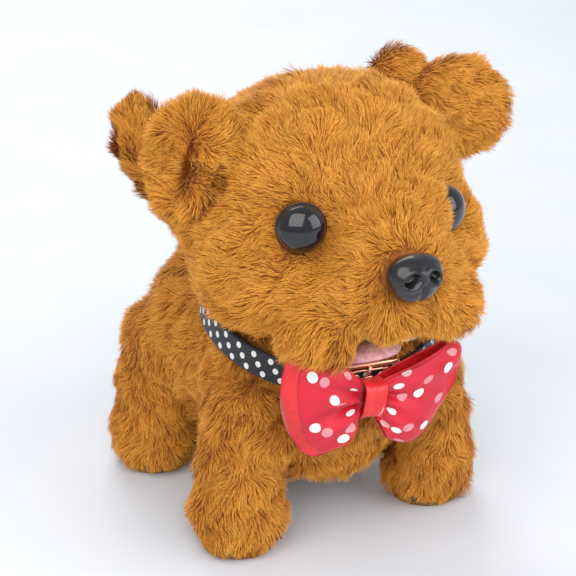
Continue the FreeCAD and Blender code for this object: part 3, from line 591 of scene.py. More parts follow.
def tail_skin():
    """Fatter towards its tip, with a round root over the hub of the tail's core."""
    line = smooth_line(TAIL_LINE, TAIL_STEPS)
    radii = np.interp(np.linspace(0, 1, TAIL_STEPS), np.linspace(0, 1, len(TAIL_RADII)), TAIL_RADII)
    tip = blob(TAIL_LINE[-1], (8, 6.5, 6))
    root = blob((0, 59.5, 67.5), (8, 7.8, 8))
    return merged_skin("tail_skin", [tube(line, radii), tip, root], voxel=1.6, rounds=4)


def ear_skin_right():
    """Folded forward over the side of the head: a thick rim round a hollow that opens to the front."""
    turns = circle(48)
    lean = 1 + 0.10 * np.cos(turns - 2.2)
    rim = np.stack([0 * turns, 9.5 * lean * np.cos(turns), 13.5 * lean * np.sin(turns)], 1)
    rim[:, 0] = 2.5 - 0.030 * rim[:, 1] ** 2
    points, faces = tube_ring(rim, 5.2 + 1.0 * np.cos(turns - 2.6))
    back, back_faces = ball(20, 28)
    back = back * (3.4, 10.0, 14.0) + (2.2, 0, 0)
    both = np.vstack([points, back])
    joined = faces + [tuple(i + len(points) for i in f) for f in back_faces]
    both = turn(both, (0, 1, 0), 20)
    both = turn(both, (0, 0, 1), 24)
    return merged_skin("ear_skin_right", [(both + (-44.5, -16.0, 134.5), joined)], voxel=1.4, rounds=4)


def ear_skin_left():
    """Standing out sideways from the head, its tip turned down and forward."""
    points, faces = ball(30, 40)
    points = points * (20.0, 6.5, 16.5)
    points[:, 1] -= 0.012 * (points[:, 0] ** 2 + points[:, 2] ** 2) - 3.0
    points = turn(points, (0, 1, 0), 20)
    lump = blob((43, 6, 144), (9, 6, 8))
    return merged_skin("ear_skin_left", [(points + (60, -3, 132), faces), lump], voxel=1.6, rounds=3)


def jaw_skin():
    blobs = [blob((0, -53, 81.0), (14, 9, 3.2)), blob((0, -48, 83), (11, 7, 3.2))]
    return merged_skin("jaw_skin", blobs, voxel=1.2, rounds=3)


# ---------------------------------------------------------------- how the fur lies

def radial(point, pull=(0, 0, 0)):
    """Away from a point, with a steady pull added."""
    def flow(root, normal):
        return unit(root - point) + np.asarray(pull, float)
    return flow


def from_crease(point):
    """Away from an upright line, and only a little up and down from its middle."""
    def flow(root, normal):
        return unit((root - point) * (1.0, 1.0, 0.35))
    return flow


def head_comb(root, normal):
    """Out from the nose over the face, then back and down behind."""
    away = unit(root - (NOSE + (0, 4, 2)))
    back = smooth(-40, 0, root[:, 1])[:, None]
    under = smooth(100, 84, root[:, 2])[:, None]
    return away * (1 - 0.4 * back) + back * np.array([0, 0.5, -0.5]) + under * np.array([0, 0.2, -0.3])


def body_comb(root, normal):
    """Down and back; straight down on the chest."""
    chest = smooth(-20, -45, root[:, 1])[:, None]
    out = np.stack([root[:, 0] * 0.012, np.zeros(len(root)), np.zeros(len(root))], 1)
    return np.array([0, 0.75, -0.75]) * (1 - chest) + np.array([0, 0, -1]) * chest + out


def leg_comb(side, y):
    """Straight down, and in under the foot."""
    def flow(root, normal):
        inward = (side * LEG_X, y, 0) - root
        inward[:, 2] = 0
        return np.array((0.0, 0.0, -1.0)) + unit(inward) * 0.9 * smooth(19, 11, root[:, 2])[:, None]
    return flow


def tail_comb(root, normal):
    line = smooth_line(TAIL_LINE, TAIL_STEPS)
    along = unit(np.gradient(line, axis=0))
    nearest = np.argmin(((root[:, None, :] - line[None]) ** 2).sum(2), axis=1)
    return along[nearest]


def head_length(root, normal):
    """Short round the nose and eyes, longer on the cheeks and under the muzzle."""
    size = 4.8 + 0.8 * smooth(-50, -10, root[:, 1])
    from_nose = np.linalg.norm(root - NOSE, axis=1)
    size = np.where(from_nose < 26, np.minimum(size, 3.6 + 3.4 * smooth(8, 26, from_nose)), size)
    for eye in EYES.values():
        gap = np.linalg.norm(root - eye, axis=1)
        size = np.where(gap < 16, np.minimum(size, 3.8 + 1.4 * smooth(8, 16, gap)), size)
    jowl = smooth(12, 20, np.abs(root[:, 0]))
    size = size + (1.3 + 0.9 * jowl) * smooth(98, 86, root[:, 2]) * smooth(-40, -58, root[:, 1])
    return size + 0.8 * smooth(30, 46, np.abs(root[:, 0])) * smooth(120, 100, root[:, 2])


def head_stand(root):
    """Upright round the eyes and the nose, laid down elsewhere."""
    gap = np.min([np.linalg.norm(root - spot, axis=1) for spot in (*EYES.values(), NOSE)], axis=0)
    return 0.6 + 0.4 * smooth(8.5, 13, gap)


def even_length(value):
    return lambda root, normal: np.full(len(root), float(value))


# The collar's ring, on which the strap lies and where strands over the strap are left out.
COLLAR_MIDDLE = np.array([0.0, -21.0, 80.6])
COLLAR_TILT = 16.0
COLLAR_INNER = 37.0
COLLAR_WIDTH = 10.0
COLLAR_THICK = 1.5
COLLAR_AXIS = np.array([0.0, -math.sin(math.radians(COLLAR_TILT)), math.cos(math.radians(COLLAR_TILT))])


def collar_places(points):
    """Height along the collar's axis and distance from it."""
    p = points - COLLAR_MIDDLE
    height = p @ COLLAR_AXIS
    return height, np.linalg.norm(p - height[..., None] * COLLAR_AXIS, axis=-1)


def clear_of_collar(points):
    """Which strands stay off the strap's outer face."""
    height, distance = collar_places(points)
    near = (distance > COLLAR_INNER - 1.0) & (distance < COLLAR_INNER + 4.5)
    over = (np.abs(height) < COLLAR_WIDTH / 2 + 1.2) & near
    return ~over.any(axis=1)


EYE_FACING = {"left": unit(np.array([0.46, -0.88, 0.10])), "right": unit(np.array([-0.34, -0.93, 0.10]))}
EYE_RADIUS = 7.5


def face_keep(root, normal):
    """No roots under the eyes or the nose."""
    good = np.linalg.norm((root - NOSE - (0, 3, 0)) / (1.0, 1.0, 0.9), axis=1) > 6.6
    for side, eye in EYES.items():
        p = root - eye
        along = p @ EYE_FACING[side]
        off = np.linalg.norm(p - np.outer(along, EYE_FACING[side]), axis=1)
        good &= ~((off < EYE_RADIUS - 1.6) & (along > -14))
    return good


def clear_of_face(points):
    """Strands whose outer parts cross the eyes' or the nose's face are left out."""
    good = np.ones(len(points), bool)
    for side, eye in EYES.items():
        p = points - eye
        along = p @ EYE_FACING[side]
        off = np.linalg.norm(p - along[..., None] * EYE_FACING[side], axis=-1)
        nosewards = unit((-math.copysign(0.8, eye[0]), -0.2, -1.0))
        reach = np.where(p @ nosewards > 1.0, EYE_RADIUS - 3.4, EYE_RADIUS - 1.5)
        good &= ~((off < reach) & (along > -6)).any(axis=1)
    p = (points - NOSE) / (8.4, 11.0, 7.4)
    good &= ~((p ** 2).sum(-1) < 1).any(axis=1)
    return good


# ---------------------------------------------------------------- eyes, nose and mouth

def eye_piece(side):
    """A glossy dome on a low rim."""
    name = "eye_dome_" + side
    middle, facing = EYES[side], EYE_FACING[side]
    steps = 26
    turns = 48
    rim = ((0.2, -3.5), (0.3, -1.2), (0.15, -0.5), (-0.15, -0.35))
    profile = [(EYE_RADIUS + out, h) for out, h in rim]
    profile += [
        ((EYE_RADIUS - 0.3) * math.cos(a), 4.9 * math.sin(a) - 0.1)
        for a in np.linspace(0.02, math.pi / 2 - 0.02, steps)
    ]
    u = unit(np.cross((0, 0, 1), facing))
    v = np.cross(facing, u)
    points = [
        middle + r * (math.cos(t) * u + math.sin(t) * v) + h * facing
        for r, h in profile
        for t in circle(turns)
    ]
    points.append(middle + 4.8 * facing)
    points.append(middle - 3.5 * facing)
    rows = len(profile)
    faces = grid_faces(rows, turns, wrap_columns=True)
    top, bottom, last = len(points) - 2, len(points) - 1, (rows - 1) * turns
    faces += [(last + j, last + (j + 1) % turns, top) for j in range(turns)]
    faces += [((j + 1) % turns, j, bottom) for j in range(turns)]
    return mesh_piece(name, np.array(points), faces, [EYE_GLOSS])


def nose_piece():
    """A rounded three-cornered button with two nostrils and a groove below."""
    points, faces = ball(72, 96)
    x, y, z = points.T
    wide = 1 + 0.16 * smooth(-0.7, 0.7, z)
    body = np.stack([
        np.sign(x) * np.abs(x) ** 0.86 * 8.0 * wide,
        y * 6.2,
        np.sign(z) * np.abs(z) ** 0.9 * 7.3,
    ], 1)
    front = smooth(0.1, -0.5, y)
    for side in (1, -1):
        cx, cz = side * 3.7, 1.5
        dx, dz = (body[:, 0] - cx) * side, body[:, 2] - cz
        along, off = dx * 0.80 + dz * -0.60, dx * 0.60 + dz * 0.80
        hole = np.exp(-((along / 2.2) ** 2 + (off / 1.45) ** 2) ** 2)
        body[:, 1] += 2.7 * hole * front
        rim = np.exp(-((np.hypot(along / 3.3, off / 2.5) - 1) / 0.28) ** 2)
        body[:, 1] -= 0.6 * rim * front
    groove = np.exp(-(body[:, 0] / 0.65) ** 2) * smooth(0.5, -1.5, body[:, 2])
    body[:, 1] += 1.6 * groove * front
    body[:, 1] -= 0.5 * np.exp(-(body[:, 0] / 3.0) ** 2) * smooth(1, 4, body[:, 2]) * front
    return mesh_piece("nose_button", body + NOSE, faces, [NOSE_GLOSS])


def mouth_piece():
    """The pale pink felt pad that shows between the jowls, creased along its middle."""
    points, faces = ball(32, 48)
    points = points * (12.0, 8.0, 2.9)
    points[:, 2] -= 0.018 * points[:, 0] ** 2
    points[:, 1] += 0.020 * points[:, 0] ** 2
    points[:, 2] -= 0.7 * np.exp(-(points[:, 0] / 0.9) ** 2) * smooth(0, 1.5, points[:, 2])
    return mesh_piece("mouth_felt", points + (-5, -60, 82.9), faces, [PINK_FELT])


# ---------------------------------------------------------------- collar and buckle

def collar_point(turned, height, distance):
    """A place on the collar's ring: turned is in degrees from its front, towards the toy's left."""
    a = np.radians(np.asarray(turned, float))
    flat = np.stack([np.sin(a) * distance, -np.cos(a) * distance, np.zeros_like(a) + height], -1)
    return turn(flat, (1, 0, 0), COLLAR_TILT) + COLLAR_MIDDLE


def collar_strap():
    """A closed woven band with soft edges. Its map is in millimetres along and across."""
    outer = COLLAR_INNER + COLLAR_THICK
    half = COLLAR_WIDTH / 2
    edge = [
        (half - 0.25, COLLAR_INNER + 0.1), (half, COLLAR_INNER + 0.5), (half, outer - 0.35),
        (half - 0.35, outer), (half - 1.2, outer - 0.05),
    ]
    profile = [(-h, r) for h, r in edge] + [(0, outer + 0.05)] + edge[::-1]
    steps = 240
    angles = np.linspace(-180, 180, steps + 1)
    points = np.vstack([collar_point(angles[:-1], h, r) for h, r in profile])
    faces = grid_faces(len(profile), steps, wrap_rows=True, wrap_columns=True)
    along = np.tile(np.radians(angles[:-1]) * outer, len(profile))
    across = np.repeat([h for h, r in profile], steps)
    return mesh_piece("collar_band", points, faces, [WEB], uv=np.stack([along, across], 1))


def curve_tube(name, lines, material, sides=10):
    """Several round wires as one mesh: lines is a list of (points, radius, closed)."""
    all_points, all_faces, count = [], [], 0
    for line, radius, closed in lines:
        rings = rings_along(line, [radius] * len(line), sides, (0.12, 0.87, -0.48), closed)
        faces = grid_faces(len(line), sides, wrap_rows=closed, wrap_columns=True)
        if not closed:
            base = (len(line) - 1) * sides
            faces += [tuple(range(sides))[::-1], tuple(range(base, base + sides))]
        all_points.append(rings)
        all_faces += [tuple(i + count for i in f) for f in faces]
        count += len(rings)
    return mesh_piece(name, np.vstack(all_points), all_faces, [material])


# The buckle's middle on the strap: towards the toy's left, and up across the strap.
BUCKLE_ACROSS = -5.0
BUCKLE_UP = 1.2


def on_strap(x, height, lift):
    """A place over the strap's front, x millimetres to the left of its middle."""
    distance = COLLAR_INNER + COLLAR_THICK + lift
    return collar_point(np.degrees(np.asarray(x, float) / distance), np.asarray(height, float), distance)


def rounded_loop(width, height, corner):
    """A rounded rectangle as (x, y) pairs."""
    loop = []
    for cx, cy, start in ((1, 1, 0), (-1, 1, 90), (-1, -1, 180), (1, -1, 270)):
        for a in np.radians(np.linspace(start, start + 90, 10)):
            loop.append((
                cx * (width / 2 - corner) + corner * math.cos(a),
                cy * (height / 2 - corner) + corner * math.sin(a),
            ))
    return np.array(loop)


def place_loop(loop, lift):
    """(x, y) pairs from the buckle's middle, laid over the curved strap."""
    return np.array([on_strap(BUCKLE_ACROSS + x, BUCKLE_UP + y, lift) for x, y in loop]).reshape(-1, 3)


def scroll(x, y, size, start, turns, hand):
    """A spiral in the buckle's plane."""
    a = np.linspace(0, turns * 2 * math.pi, int(26 * turns) + 2)
    r = size * (1 - 0.78 * a / a[-1])
    turned = math.radians(start) + hand * a
    return np.stack([x + r * np.cos(turned), y + r * np.sin(turned)], 1)


def buckle_piece():
    """A cast clasp: a rounded frame with scrolls, a bar and a tongue."""
    wires = [
        (rounded_loop(21.0, 12.6, 3.4), 1.1, 1.05, True),
        (rounded_loop(16.6, 8.6, 2.4), 1.35, 0.5, True),
    ]
    for side in (1, -1):
        for up in (1, -1):
            wires.append((scroll(side * 4.6, up * 2.0, 2.5, 90 * up, 1.4, -side * up), 1.6, 0.42, False))
            wires.append((scroll(side * 8.6, up * 5.6, 1.7, -90 * up, 1.1, side * up), 1.5, 0.45, False))
        wires.append(([(side * 10.2, -3.2), (side * 11.6, 0), (side * 10.2, 3.2)], 1.2, 0.8, False))
    wires.append((rounded_loop(4.6, 4.6, 2.2), 1.9, 0.55, True))
    wires.append(([(0, -5.6), (0, -1), (0, 2), (0, 6.2)], 1.5, 0.6, False))
    lines = [(place_loop(loop, lift), radius, closed) for loop, lift, radius, closed in wires]
    return curve_tube("clasp", lines, ROSE_GOLD)


# ---------------------------------------------------------------- bow

BOW_MIDDLE = np.array([-8.0, -61.7, 69.0])
BOW_TILT = 8.0
# Where each side's outer fold runs: share of the half width, distance out, height.
BOW_CORNERS = {
    -1: [(-1.0, 9.5, -17.2), (-0.72, 16.5, -18.6), (-0.35, 24.0, -11.5), (0.05, 29.0, 0.5),
         (0.42, 29.6, 10.0), (0.75, 27.6, 17.0), (1.0, 23.6, 19.6)],
    1: [(-1.0, 10.0, -15.6), (-0.72, 17.0, -17.4), (-0.35, 24.5, -13.6), (0.05, 30.5, -1.5),
        (0.42, 33.0, 7.0), (0.75, 32.6, 13.4), (1.0, 27.6, 16.0)],
}
SIDE_NAMES = {1: "left", -1: "right"}
# Half the knot's width, half the ribbon's width, and its length from the knot to the outer fold.
KNOT_HALF = 3.8
RIBBON_HALF = 16.0
RIBBON_LENGTH = 31.0


def bow_to_toy(u, forward, w):
    """The bow's own (across, forward, up) to the toy's places, with the bow's tilt."""
    flat = np.stack([np.asarray(u, float), -np.asarray(forward, float), np.asarray(w, float)], -1)
    shape = flat.shape
    return (turn(flat.reshape(-1, 3), (0, 1, 0), BOW_TILT) + BOW_MIDDLE).reshape(shape)


def lobe(side, s, t, reach=1.0):
    """Across and up in the bow's plane for a share out from the knot and a share across the ribbon."""
    s, t = np.asarray(s, float), np.asarray(t, float)
    out = np.interp(t, BOW_EDGES[side][:, 0], BOW_EDGES[side][:, 1])
    high = np.interp(t, BOW_EDGES[side][:, 0], BOW_EDGES[side][:, 2])
    k = s * reach
    flare = k ** 0.85
    u = KNOT_HALF * 0.75 * (1 - k) + out * k
    w = 4.6 * t * (1 - flare) + high * flare
    return side * u, w


def smooth_edge(rows):
    """The bow's outline at finer steps, so that it has no corners."""
    line = smooth_line(rows, 61)
    return line[np.argsort(line[:, 0])]


BOW_EDGES = {side: smooth_edge(rows) for side, rows in BOW_CORNERS.items()}


def folds(side, s, t):
    """How far the ribbon's front stands forward: a low belly, sharp gathers at the knot and soft waves."""
    belly = 3.0 * np.sin(np.pi * np.clip(0.14 + 0.80 * s, 0, 1)) ** 0.8
    gather = (1 - s) ** 1.1 * smooth(0, 0.12, s)
    pleats = 1.15 * np.cos(3.4 * np.pi * t + 0.6 * side) * gather
    valley = -2.4 * np.exp(-((t - 0.10 * side + 0.25 * s) / 0.11) ** 2) * (1 - s) ** 0.6 * smooth(0, 0.12, s)
    ridge = 1.3 * np.exp(-((t + 0.42 - 0.20 * s) / 0.16) ** 2) * (1 - s) ** 0.7 * smooth(0, 0.15, s)
    wave = 0.9 * np.sin(4.2 * t + 3.0 * s + 1.3 * side) * s + 0.35 * np.sin(9 * t - 4 * s) * s
    return belly + pleats + valley + ridge + wave + 1.1 + 1.3 * (1 - s ** 5)


def thickened(thing, thickness, offset):
    """A sheet given its thickness in millimetres: offset 0 is to both sides, -1 inwards."""
    thick = thing.modifiers.new("thick", "SOLIDIFY")
    thick.thickness = thickness * MM
    thick.offset = offset
    return applied(thing)


def ribbon_loop(name, rows, columns, place, material):
    """A loop of ribbon out from the knot, over the outer fold and back: a goes from 0 to 1 along it."""
    t = np.linspace(-1, 1, columns)
    points = [
        bow_to_toy(*place(a, np.full(columns, 1 - abs(1 - 2 * a)), t)) for a in np.linspace(0, 1, rows)
    ]
    return mesh_piece(name, np.vstack(points), grid_faces(rows, columns), [material])


def satin_lobe(side):
    """The satin ribbon: full in front and close behind."""
    def place(a, s, t):
        u, w = lobe(side, s, t)
        forward = folds(side, s, t)
        if a > 0.5:
            forward = 0.2 + 0.10 * forward + 0.5 * s ** 4
        edge = np.sqrt(np.clip(1 - s ** 22, 0, 1))
        middle = 1.5 + 0.7 * np.sin(4 * t + side) + 0.35 * np.sin(11 * t)
        return u, middle + (forward - middle) * edge, w
    return thickened(ribbon_loop("satin_lobe_" + SIDE_NAMES[side], 65, 57, place, SATIN), 0.45, 0)


ORGANZA_REACH = {1: 0.985, -1: 0.86}


def organza_front(side, s, t, layer):
    """The sheer ribbon over the satin: layer 1 lies loose in front and layer 0 against the satin."""
    reach = ORGANZA_REACH[side]
    u, w = lobe(side, s, t, reach)
    under = folds(side, np.clip(s * reach, 0, 1), t) * np.sqrt(np.clip(1 - (s * reach) ** 22, 0, 1))
    puff = 1.3 * np.sin(np.pi * s) ** 0.7 + 0.3
    gathers = 0.7 * np.cos(4.4 * np.pi * t + side) * (1 - s) * smooth(0, 0.1, s)
    scallop = 0.5 * np.sin(10 * t + side) * s ** 3
    loose = 0.5 + layer * (puff + gathers + scallop)
    edge = np.sqrt(np.clip(1 - s ** 16, 0, 1))
    return u, under + 0.5 + (loose - 0.5) * edge, w


def organza_lobe(side):
    """The sheer ribbon: the loose layer in front and the flat one under it."""
    def place(a, s, t):
        return organza_front(side, s, t, 1 if a <= 0.5 else 0)
    return ribbon_loop("organza_lobe_" + SIDE_NAMES[side], 57, 49, place, ORGANZA)


DOT_RADIUS = 1.75
DOT_STEPS = 24
# Millimetres from the knot to the first row, between rows, between dots across, and one dot's scatter.
DOT_START = 9.5
DOT_ROW = 8.6
DOT_PITCH = 13.2
DOT_SCATTER = 0.8
DOT_LAYER_SHIFT = (4.0, 4.6)


def organza_dots(layer):
    """Round white dots on one layer, squeezed where the ribbon is gathered."""
    points, faces = [], []
    random = np.random.default_rng(40 + layer)
    turns = circle(DOT_STEPS)
    for side, i, j in itertools.product((1, -1), range(4), range(-2, 3)):
        length = RIBBON_LENGTH * ORGANZA_REACH[side]
        shift = DOT_LAYER_SHIFT[0] * layer, DOT_LAYER_SHIFT[1] * layer
        a = DOT_START + DOT_ROW * i - shift[0] + random.uniform(-DOT_SCATTER, DOT_SCATTER)
        b = DOT_PITCH * (j + i % 2 / 2) - shift[1] + random.uniform(-DOT_SCATTER, DOT_SCATTER)
        if a < 5.0 or a > length - 2.0 or abs(b) > RIBBON_HALF - 1.9:
            continue
        middle = np.array([a / length, b / RIBBON_HALF])
        near = middle + np.array([(0, 0), (0.02, 0), (0, 0.02)])
        probe = bow_to_toy(*organza_front(side, near[:, 0], near[:, 1], layer))
        spread = np.linalg.norm(probe[1:] - probe[0], axis=1) / 0.02
        squeeze = smooth(0.05, 0.65, middle[0]) * 0.55 + 0.45
        s = middle[0] + np.append(DOT_RADIUS * np.cos(turns), 0) / spread[0]
        t = middle[1] + np.append(DOT_RADIUS * np.sin(turns), 0) * squeeze / spread[1]
        u, forward, w = organza_front(side, np.clip(s, 0, 0.985), np.clip(t, -1, 1), layer)
        start = len(points)
        points += list(bow_to_toy(u, forward + 0.14, w))
        rim = [start + k for k in range(DOT_STEPS)]
        faces += [(rim[k - 1], rim[k], start + DOT_STEPS) for k in range(DOT_STEPS)]
    return mesh_piece(f"organza_dots_{layer}", np.array(points), faces, [DOT_WHITE])


def knot_piece():
    """The satin band round the bow's waist."""
    rows, columns = 25, 72
    points = []
    turns = circle(columns)
    for v in np.linspace(-1, 1, rows):
        waist = 1 - 0.05 * (1 - v * v)
        forward = 4.2 * np.sign(np.cos(turns)) * np.abs(np.cos(turns)) ** 0.6 * waist + 3.8
        w = 5.4 * np.sign(np.sin(turns)) * np.abs(np.sin(turns)) ** 0.6 * waist
        forward = forward + 0.16 * math.sin(7 * v) * (np.cos(turns) > 0)
        points.append(bow_to_toy(np.full(columns, 3.7 * v) + 0.25 * np.sin(turns), forward, w))
    faces = grid_faces(rows, columns, wrap_columns=True)
    return thickened(mesh_piece("knot_wrap", np.vstack(points), faces, [SATIN]), 0.5, -1)


def knot_seam_highlight():
    """A pale line at the band's left, along its seam, lightened as a painted highlight on the satin."""
    turns = np.linspace(-55, 60, 24)
    a = np.radians(turns)
    forward = 4.3 * np.cos(a) ** 0.6 + 3.8
    w = 5.5 * np.sign(np.sin(a)) * np.abs(np.sin(a)) ** 0.6
    line = bow_to_toy(2.8 + 0.9 * np.sin(np.radians(turns + 20)), forward + 0.05, w)
    return curve_tube("knot_highlight_line", [(line, 0.24, False)], SEAM_HIGHLIGHT, 6)


# ---------------------------------------------------------------- finishes

def satin():
    material = principled("satin", (0.70, 0.016, 0.018), 0.36, Sheen_Weight=0.35, Sheen_Roughness=0.3,
                          Sheen_Tint=(1.0, 0.45, 0.45, 1), Anisotropic=0.5, Specular_IOR_Level=0.6)
    mottled(material, (0.58, 0.010, 0.014), (0.76, 0.020, 0.022), 6.0, 2.0)
    return weave(material, 0.28, 0.22)


# A wave texture of scale 1 turns through this many radians in a metre.
WAVE_RADIANS = 20


def weave(material, pitch, strength):
    """Fine crossed threads, as a bump: a thread takes 2 pi times the pitch, in millimetres."""
    place = add_node(material, "ShaderNodeTexCoord")
    threads = []
    for axis in ("X", "Z"):
        wave = add_node(material, "ShaderNodeTexWave", bands_direction=axis)
        wave.inputs["Scale"].default_value = 1 / (pitch * MM) / WAVE_RADIANS
        wire(material, place, "Object", wave, "Vector")
        threads.append(wave.outputs["Fac"])
    return raised(material, math_node(material, "MULTIPLY", *threads), strength, 0.05)


def organza():
    material = principled("organza", (0.84, 0.024, 0.060), 0.45, Alpha=0.42, Sheen_Weight=0.35,
                          Sheen_Roughness=0.4, Sheen_Tint=(1.0, 0.5, 0.55, 1), Specular_IOR_Level=0.5)
    return weave(material, 0.45, 0.35)


# Millimetres between dots along the strap and across it, how far each row slides on, and a dot's half sizes.
WEB_ROW = 6.0
WEB_STEP = 3.0
WEB_SLIDE = 2.0
WEB_DOT = (0.92, 1.15)
WEB_BLACK = (0.006, 0.008, 0.014)
WEB_WHITE = (0.80, 0.80, 0.78)


def webbing():
    """Black woven ribbon with slanting rows of three pale oval dots, drawn on its own lengths."""
    material = principled("webbing", WEB_BLACK, 0.62, Sheen_Weight=0.12, Sheen_Roughness=0.5)
    uv = add_node(material, "ShaderNodeUVMap", uv_map="lengths")
    split = add_node(material, "ShaderNodeSeparateXYZ")
    wire(material, uv, "UV", split, "Vector")
    x, y = split.outputs["X"], split.outputs["Y"]

    def sums(operation, *values):
        return math_node(material, operation, *values)

    row = sums("ROUND", sums("DIVIDE", y, WEB_STEP))
    inside = sums("LESS_THAN", sums("ABSOLUTE", row), 1.5)
    slide = sums("MULTIPLY_ADD", row, WEB_SLIDE, x)
    dx = sums("SUBTRACT", sums("PINGPONG", slide, WEB_ROW / 2), WEB_ROW / 2)
    dy = sums("SUBTRACT", y, sums("MULTIPLY", row, WEB_STEP))
    far = [sums("POWER", sums("DIVIDE", off, half), 2.0) for off, half in zip((dx, dy), WEB_DOT)]
    dot = sums("MULTIPLY", sums("LESS_THAN", sums("ADD", *far), 1.0), inside)
    mix = add_node(material, "ShaderNodeMix", data_type="RGBA")
    material.node_tree.links.new(dot, mix.inputs["Factor"])
    mix.inputs[6].default_value = (*WEB_BLACK, 1)
    mix.inputs[7].default_value = (*WEB_WHITE, 1)
    material.node_tree.links.new(mix.outputs[2], shader_of(material).inputs["Base Color"])
    ribs, threads = (
        sums("SINE", sums("MULTIPLY", place, 2 * math.pi / pitch)) for place, pitch in ((x, 0.55), (y, 0.4))
    )
    return raised(material, sums("MULTIPLY", ribs, threads), 0.5, 0.08)


def gloss(name, scratch, soft):
    """Polished black: a clear coat over black with faint fine wear."""
    material = principled(name, (0.006, 0.006, 0.007), soft, Coat_Weight=0.7, Coat_Roughness=soft / 2,
                          Specular_IOR_Level=0.3)
    return worn(material, 3.0, 6.0, soft, soft + scratch)


def plastic(name, colour, roughness, grain=0.5, strength=0.25):
    material = principled(name, colour, roughness)
    mottled(material, tuple(c * 0.86 for c in colour), tuple(min(1, c * 1.08) for c in colour), 9.0)
    return grained(material, grain, strength)


def metal(name, colour, roughness):
    material = principled(name, colour, roughness, Metallic=1.0)
    return worn(material, 2.0, 4.0, roughness * 0.7, roughness * 1.5)


def felt():
    material = principled("felt", (0.80, 0.36, 0.36), 0.95, Sheen_Weight=0.6, Sheen_Tint=(1, 0.8, 0.8, 1))
    mottled(material, (0.66, 0.26, 0.27), (0.88, 0.46, 0.45), 1.6)
    return grained(material, 0.35, 0.9, 0.2)


# The skin under the strands, in dark brown: painted shade that shows between the tufts.
def underfur():
    material = principled("underfur", (0.32, 0.10, 0.012), 0.95)
    return mottled(material, (0.24, 0.068, 0.008), (0.40, 0.13, 0.018), 2.2)


SATIN, ORGANZA, WEB, PINK_FELT = satin(), organza(), webbing(), felt()
EYE_GLOSS, NOSE_GLOSS = gloss("eye_gloss", 0.04, 0.10), gloss("nose_gloss", 0.14, 0.26)
ROSE_GOLD = metal("rose_gold_cast", (0.86, 0.46, 0.30), 0.22)
DOT_WHITE = principled("dot_white", (0.85, 0.82, 0.80), 0.6)
grained(mottled(DOT_WHITE, (0.80, 0.74, 0.73), (0.90, 0.88, 0.86), 2.0), 0.4, 0.4)
# Pale pink for the knot's seam line: a painted highlight on the satin.
SEAM_HIGHLIGHT = principled("seam_highlight", (0.85, 0.45, 0.42), 0.5)
grained(mottled(SEAM_HIGHLIGHT, (0.80, 0.36, 0.33), (0.90, 0.60, 0.56), 1.0), 0.3, 0.3)
PAINTED_SHADE_UNDERFUR = underfur()
FUR = fur_materials()

NODE_FINISHES = {
    "shell_plastic": plastic("shell_moulded", (0.78, 0.77, 0.74), 0.45),
    "belly_plastic": plastic("belly_moulded", (0.30, 0.17, 0.08), 0.55, 0.8, 0.5),
    "frame_plastic": plastic("frame_moulded", (0.05, 0.05, 0.055), 0.5),
    "gear_plastic": plastic("gear_acetal", (0.86, 0.85, 0.80), 0.3, 0.4, 0.1),
    "steel": metal("drawn_steel", (0.62, 0.62, 0.63), 0.3),
    "rose_gold": ROSE_GOLD,
    "cell_jacket": plastic("cell_wrap", (0.12, 0.20, 0.34), 0.3, 0.6, 0.1),
    "board_green": plastic("solder_mask", (0.05, 0.25, 0.12), 0.35, 0.6, 0.2),
    "chip_black": plastic("chip_moulded", (0.03, 0.03, 0.03), 0.6, 0.3, 0.4),
    "sole_rubber": plastic("sole_rubber_ribbed", (0.16, 0.09, 0.05), 0.8, 0.6, 0.7),
    "black_gloss": EYE_GLOSS,
    "fur": PAINTED_SHADE_UNDERFUR, "red_satin": SATIN, "red_organza": ORGANZA, "collar_web": WEB, "pink_felt": PINK_FELT,
}


def dress_cad_nodes():
    """Gives each CAD node the detailed finish of its own slot."""
    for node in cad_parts.values():
        for place in node.material_slots:
            named = place.material.name.split(".")[0] if place.material else ""
            place.material = NODE_FINISHES.get(named, NODE_FINISHES["shell_plastic"])


# ---------------------------------------------------------------- putting it together

def declared(piece, body, nodes=(), blend=None):
    """Puts a piece on its body, or bakes in the place of one across the joint between the toy's body and it,
    and hides the nodes it replaces.
    """
    if blend:
        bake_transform(piece)
    else:
        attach(piece, body)
    if nodes:
        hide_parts(*nodes)
    return piece


# Gives a skin the dark underfur colour, painted shade between the strands.
def coated(skin):
    skin.data.materials.clear()
    skin.data.materials.append(PAINTED_SHADE_UNDERFUR)
    return skin


# The head's coat in four pieces: its density in front of and behind this y, on each side.
FACE_BACK = -34.0
COAT_DENSITY = {"face": 5.0, "crown": 4.2}


def make_head():
    skin = coated(head_skin())
    declared(skin, "head", ["head_plush"])
    for seed, (part, side) in enumerate(itertools.product(COAT_DENSITY, ("left", "right")), 11):
        def here(p, n):
            in_part = (p[:, 1] < FACE_BACK) == (part == "face")
            return face_keep(p, n) & in_part & ((p[:, 0] >= 0) == (side == "left"))
        hair = fur(f"fur_{part}_{side}", skin, COAT_DENSITY[part], head_length, head_comb, seed,
                   keep=here, clear=clear_of_face, stand=head_stand)
        declared(hair, "head")
    for side in ("left", "right"):
        declared(eye_piece(side), "head", ["eye_" + side])
    declared(nose_piece(), "head", ["nose"])


def make_ears():
    away = {"right": from_crease((-42, -21, 134)), "left": radial((38, 8, 146))}
    for side, skin in (("right", ear_skin_right()), ("left", ear_skin_left())):
        coated(skin)
        hair = fur("fur_ear_" + side, skin, 4.6, even_length(4.8), away[side], 21)
        declared(skin, "head", ["ear_" + side])
        declared(hair, "head")


def make_jaw():
    skin = coated(jaw_skin())
    hair = fur("fur_jaw", skin, 3.0, even_length(3.6), radial((0, -50, 92), (0, 0, -0.5)), 31,
               keep=lambda p, n: n[:, 2] < 0.0)
    declared(skin, "jaw", ["jaw_plush"])
    declared(hair, "jaw")
    declared(mouth_piece(), "jaw", ["mouth_lining"])


# Where the coat's pieces begin and end, from front to back.
BODY_PARTS = {"chest": (-90.0, -17.0), "middle": (-17.0, 15.0), "rump": (15.0, 90.0)}


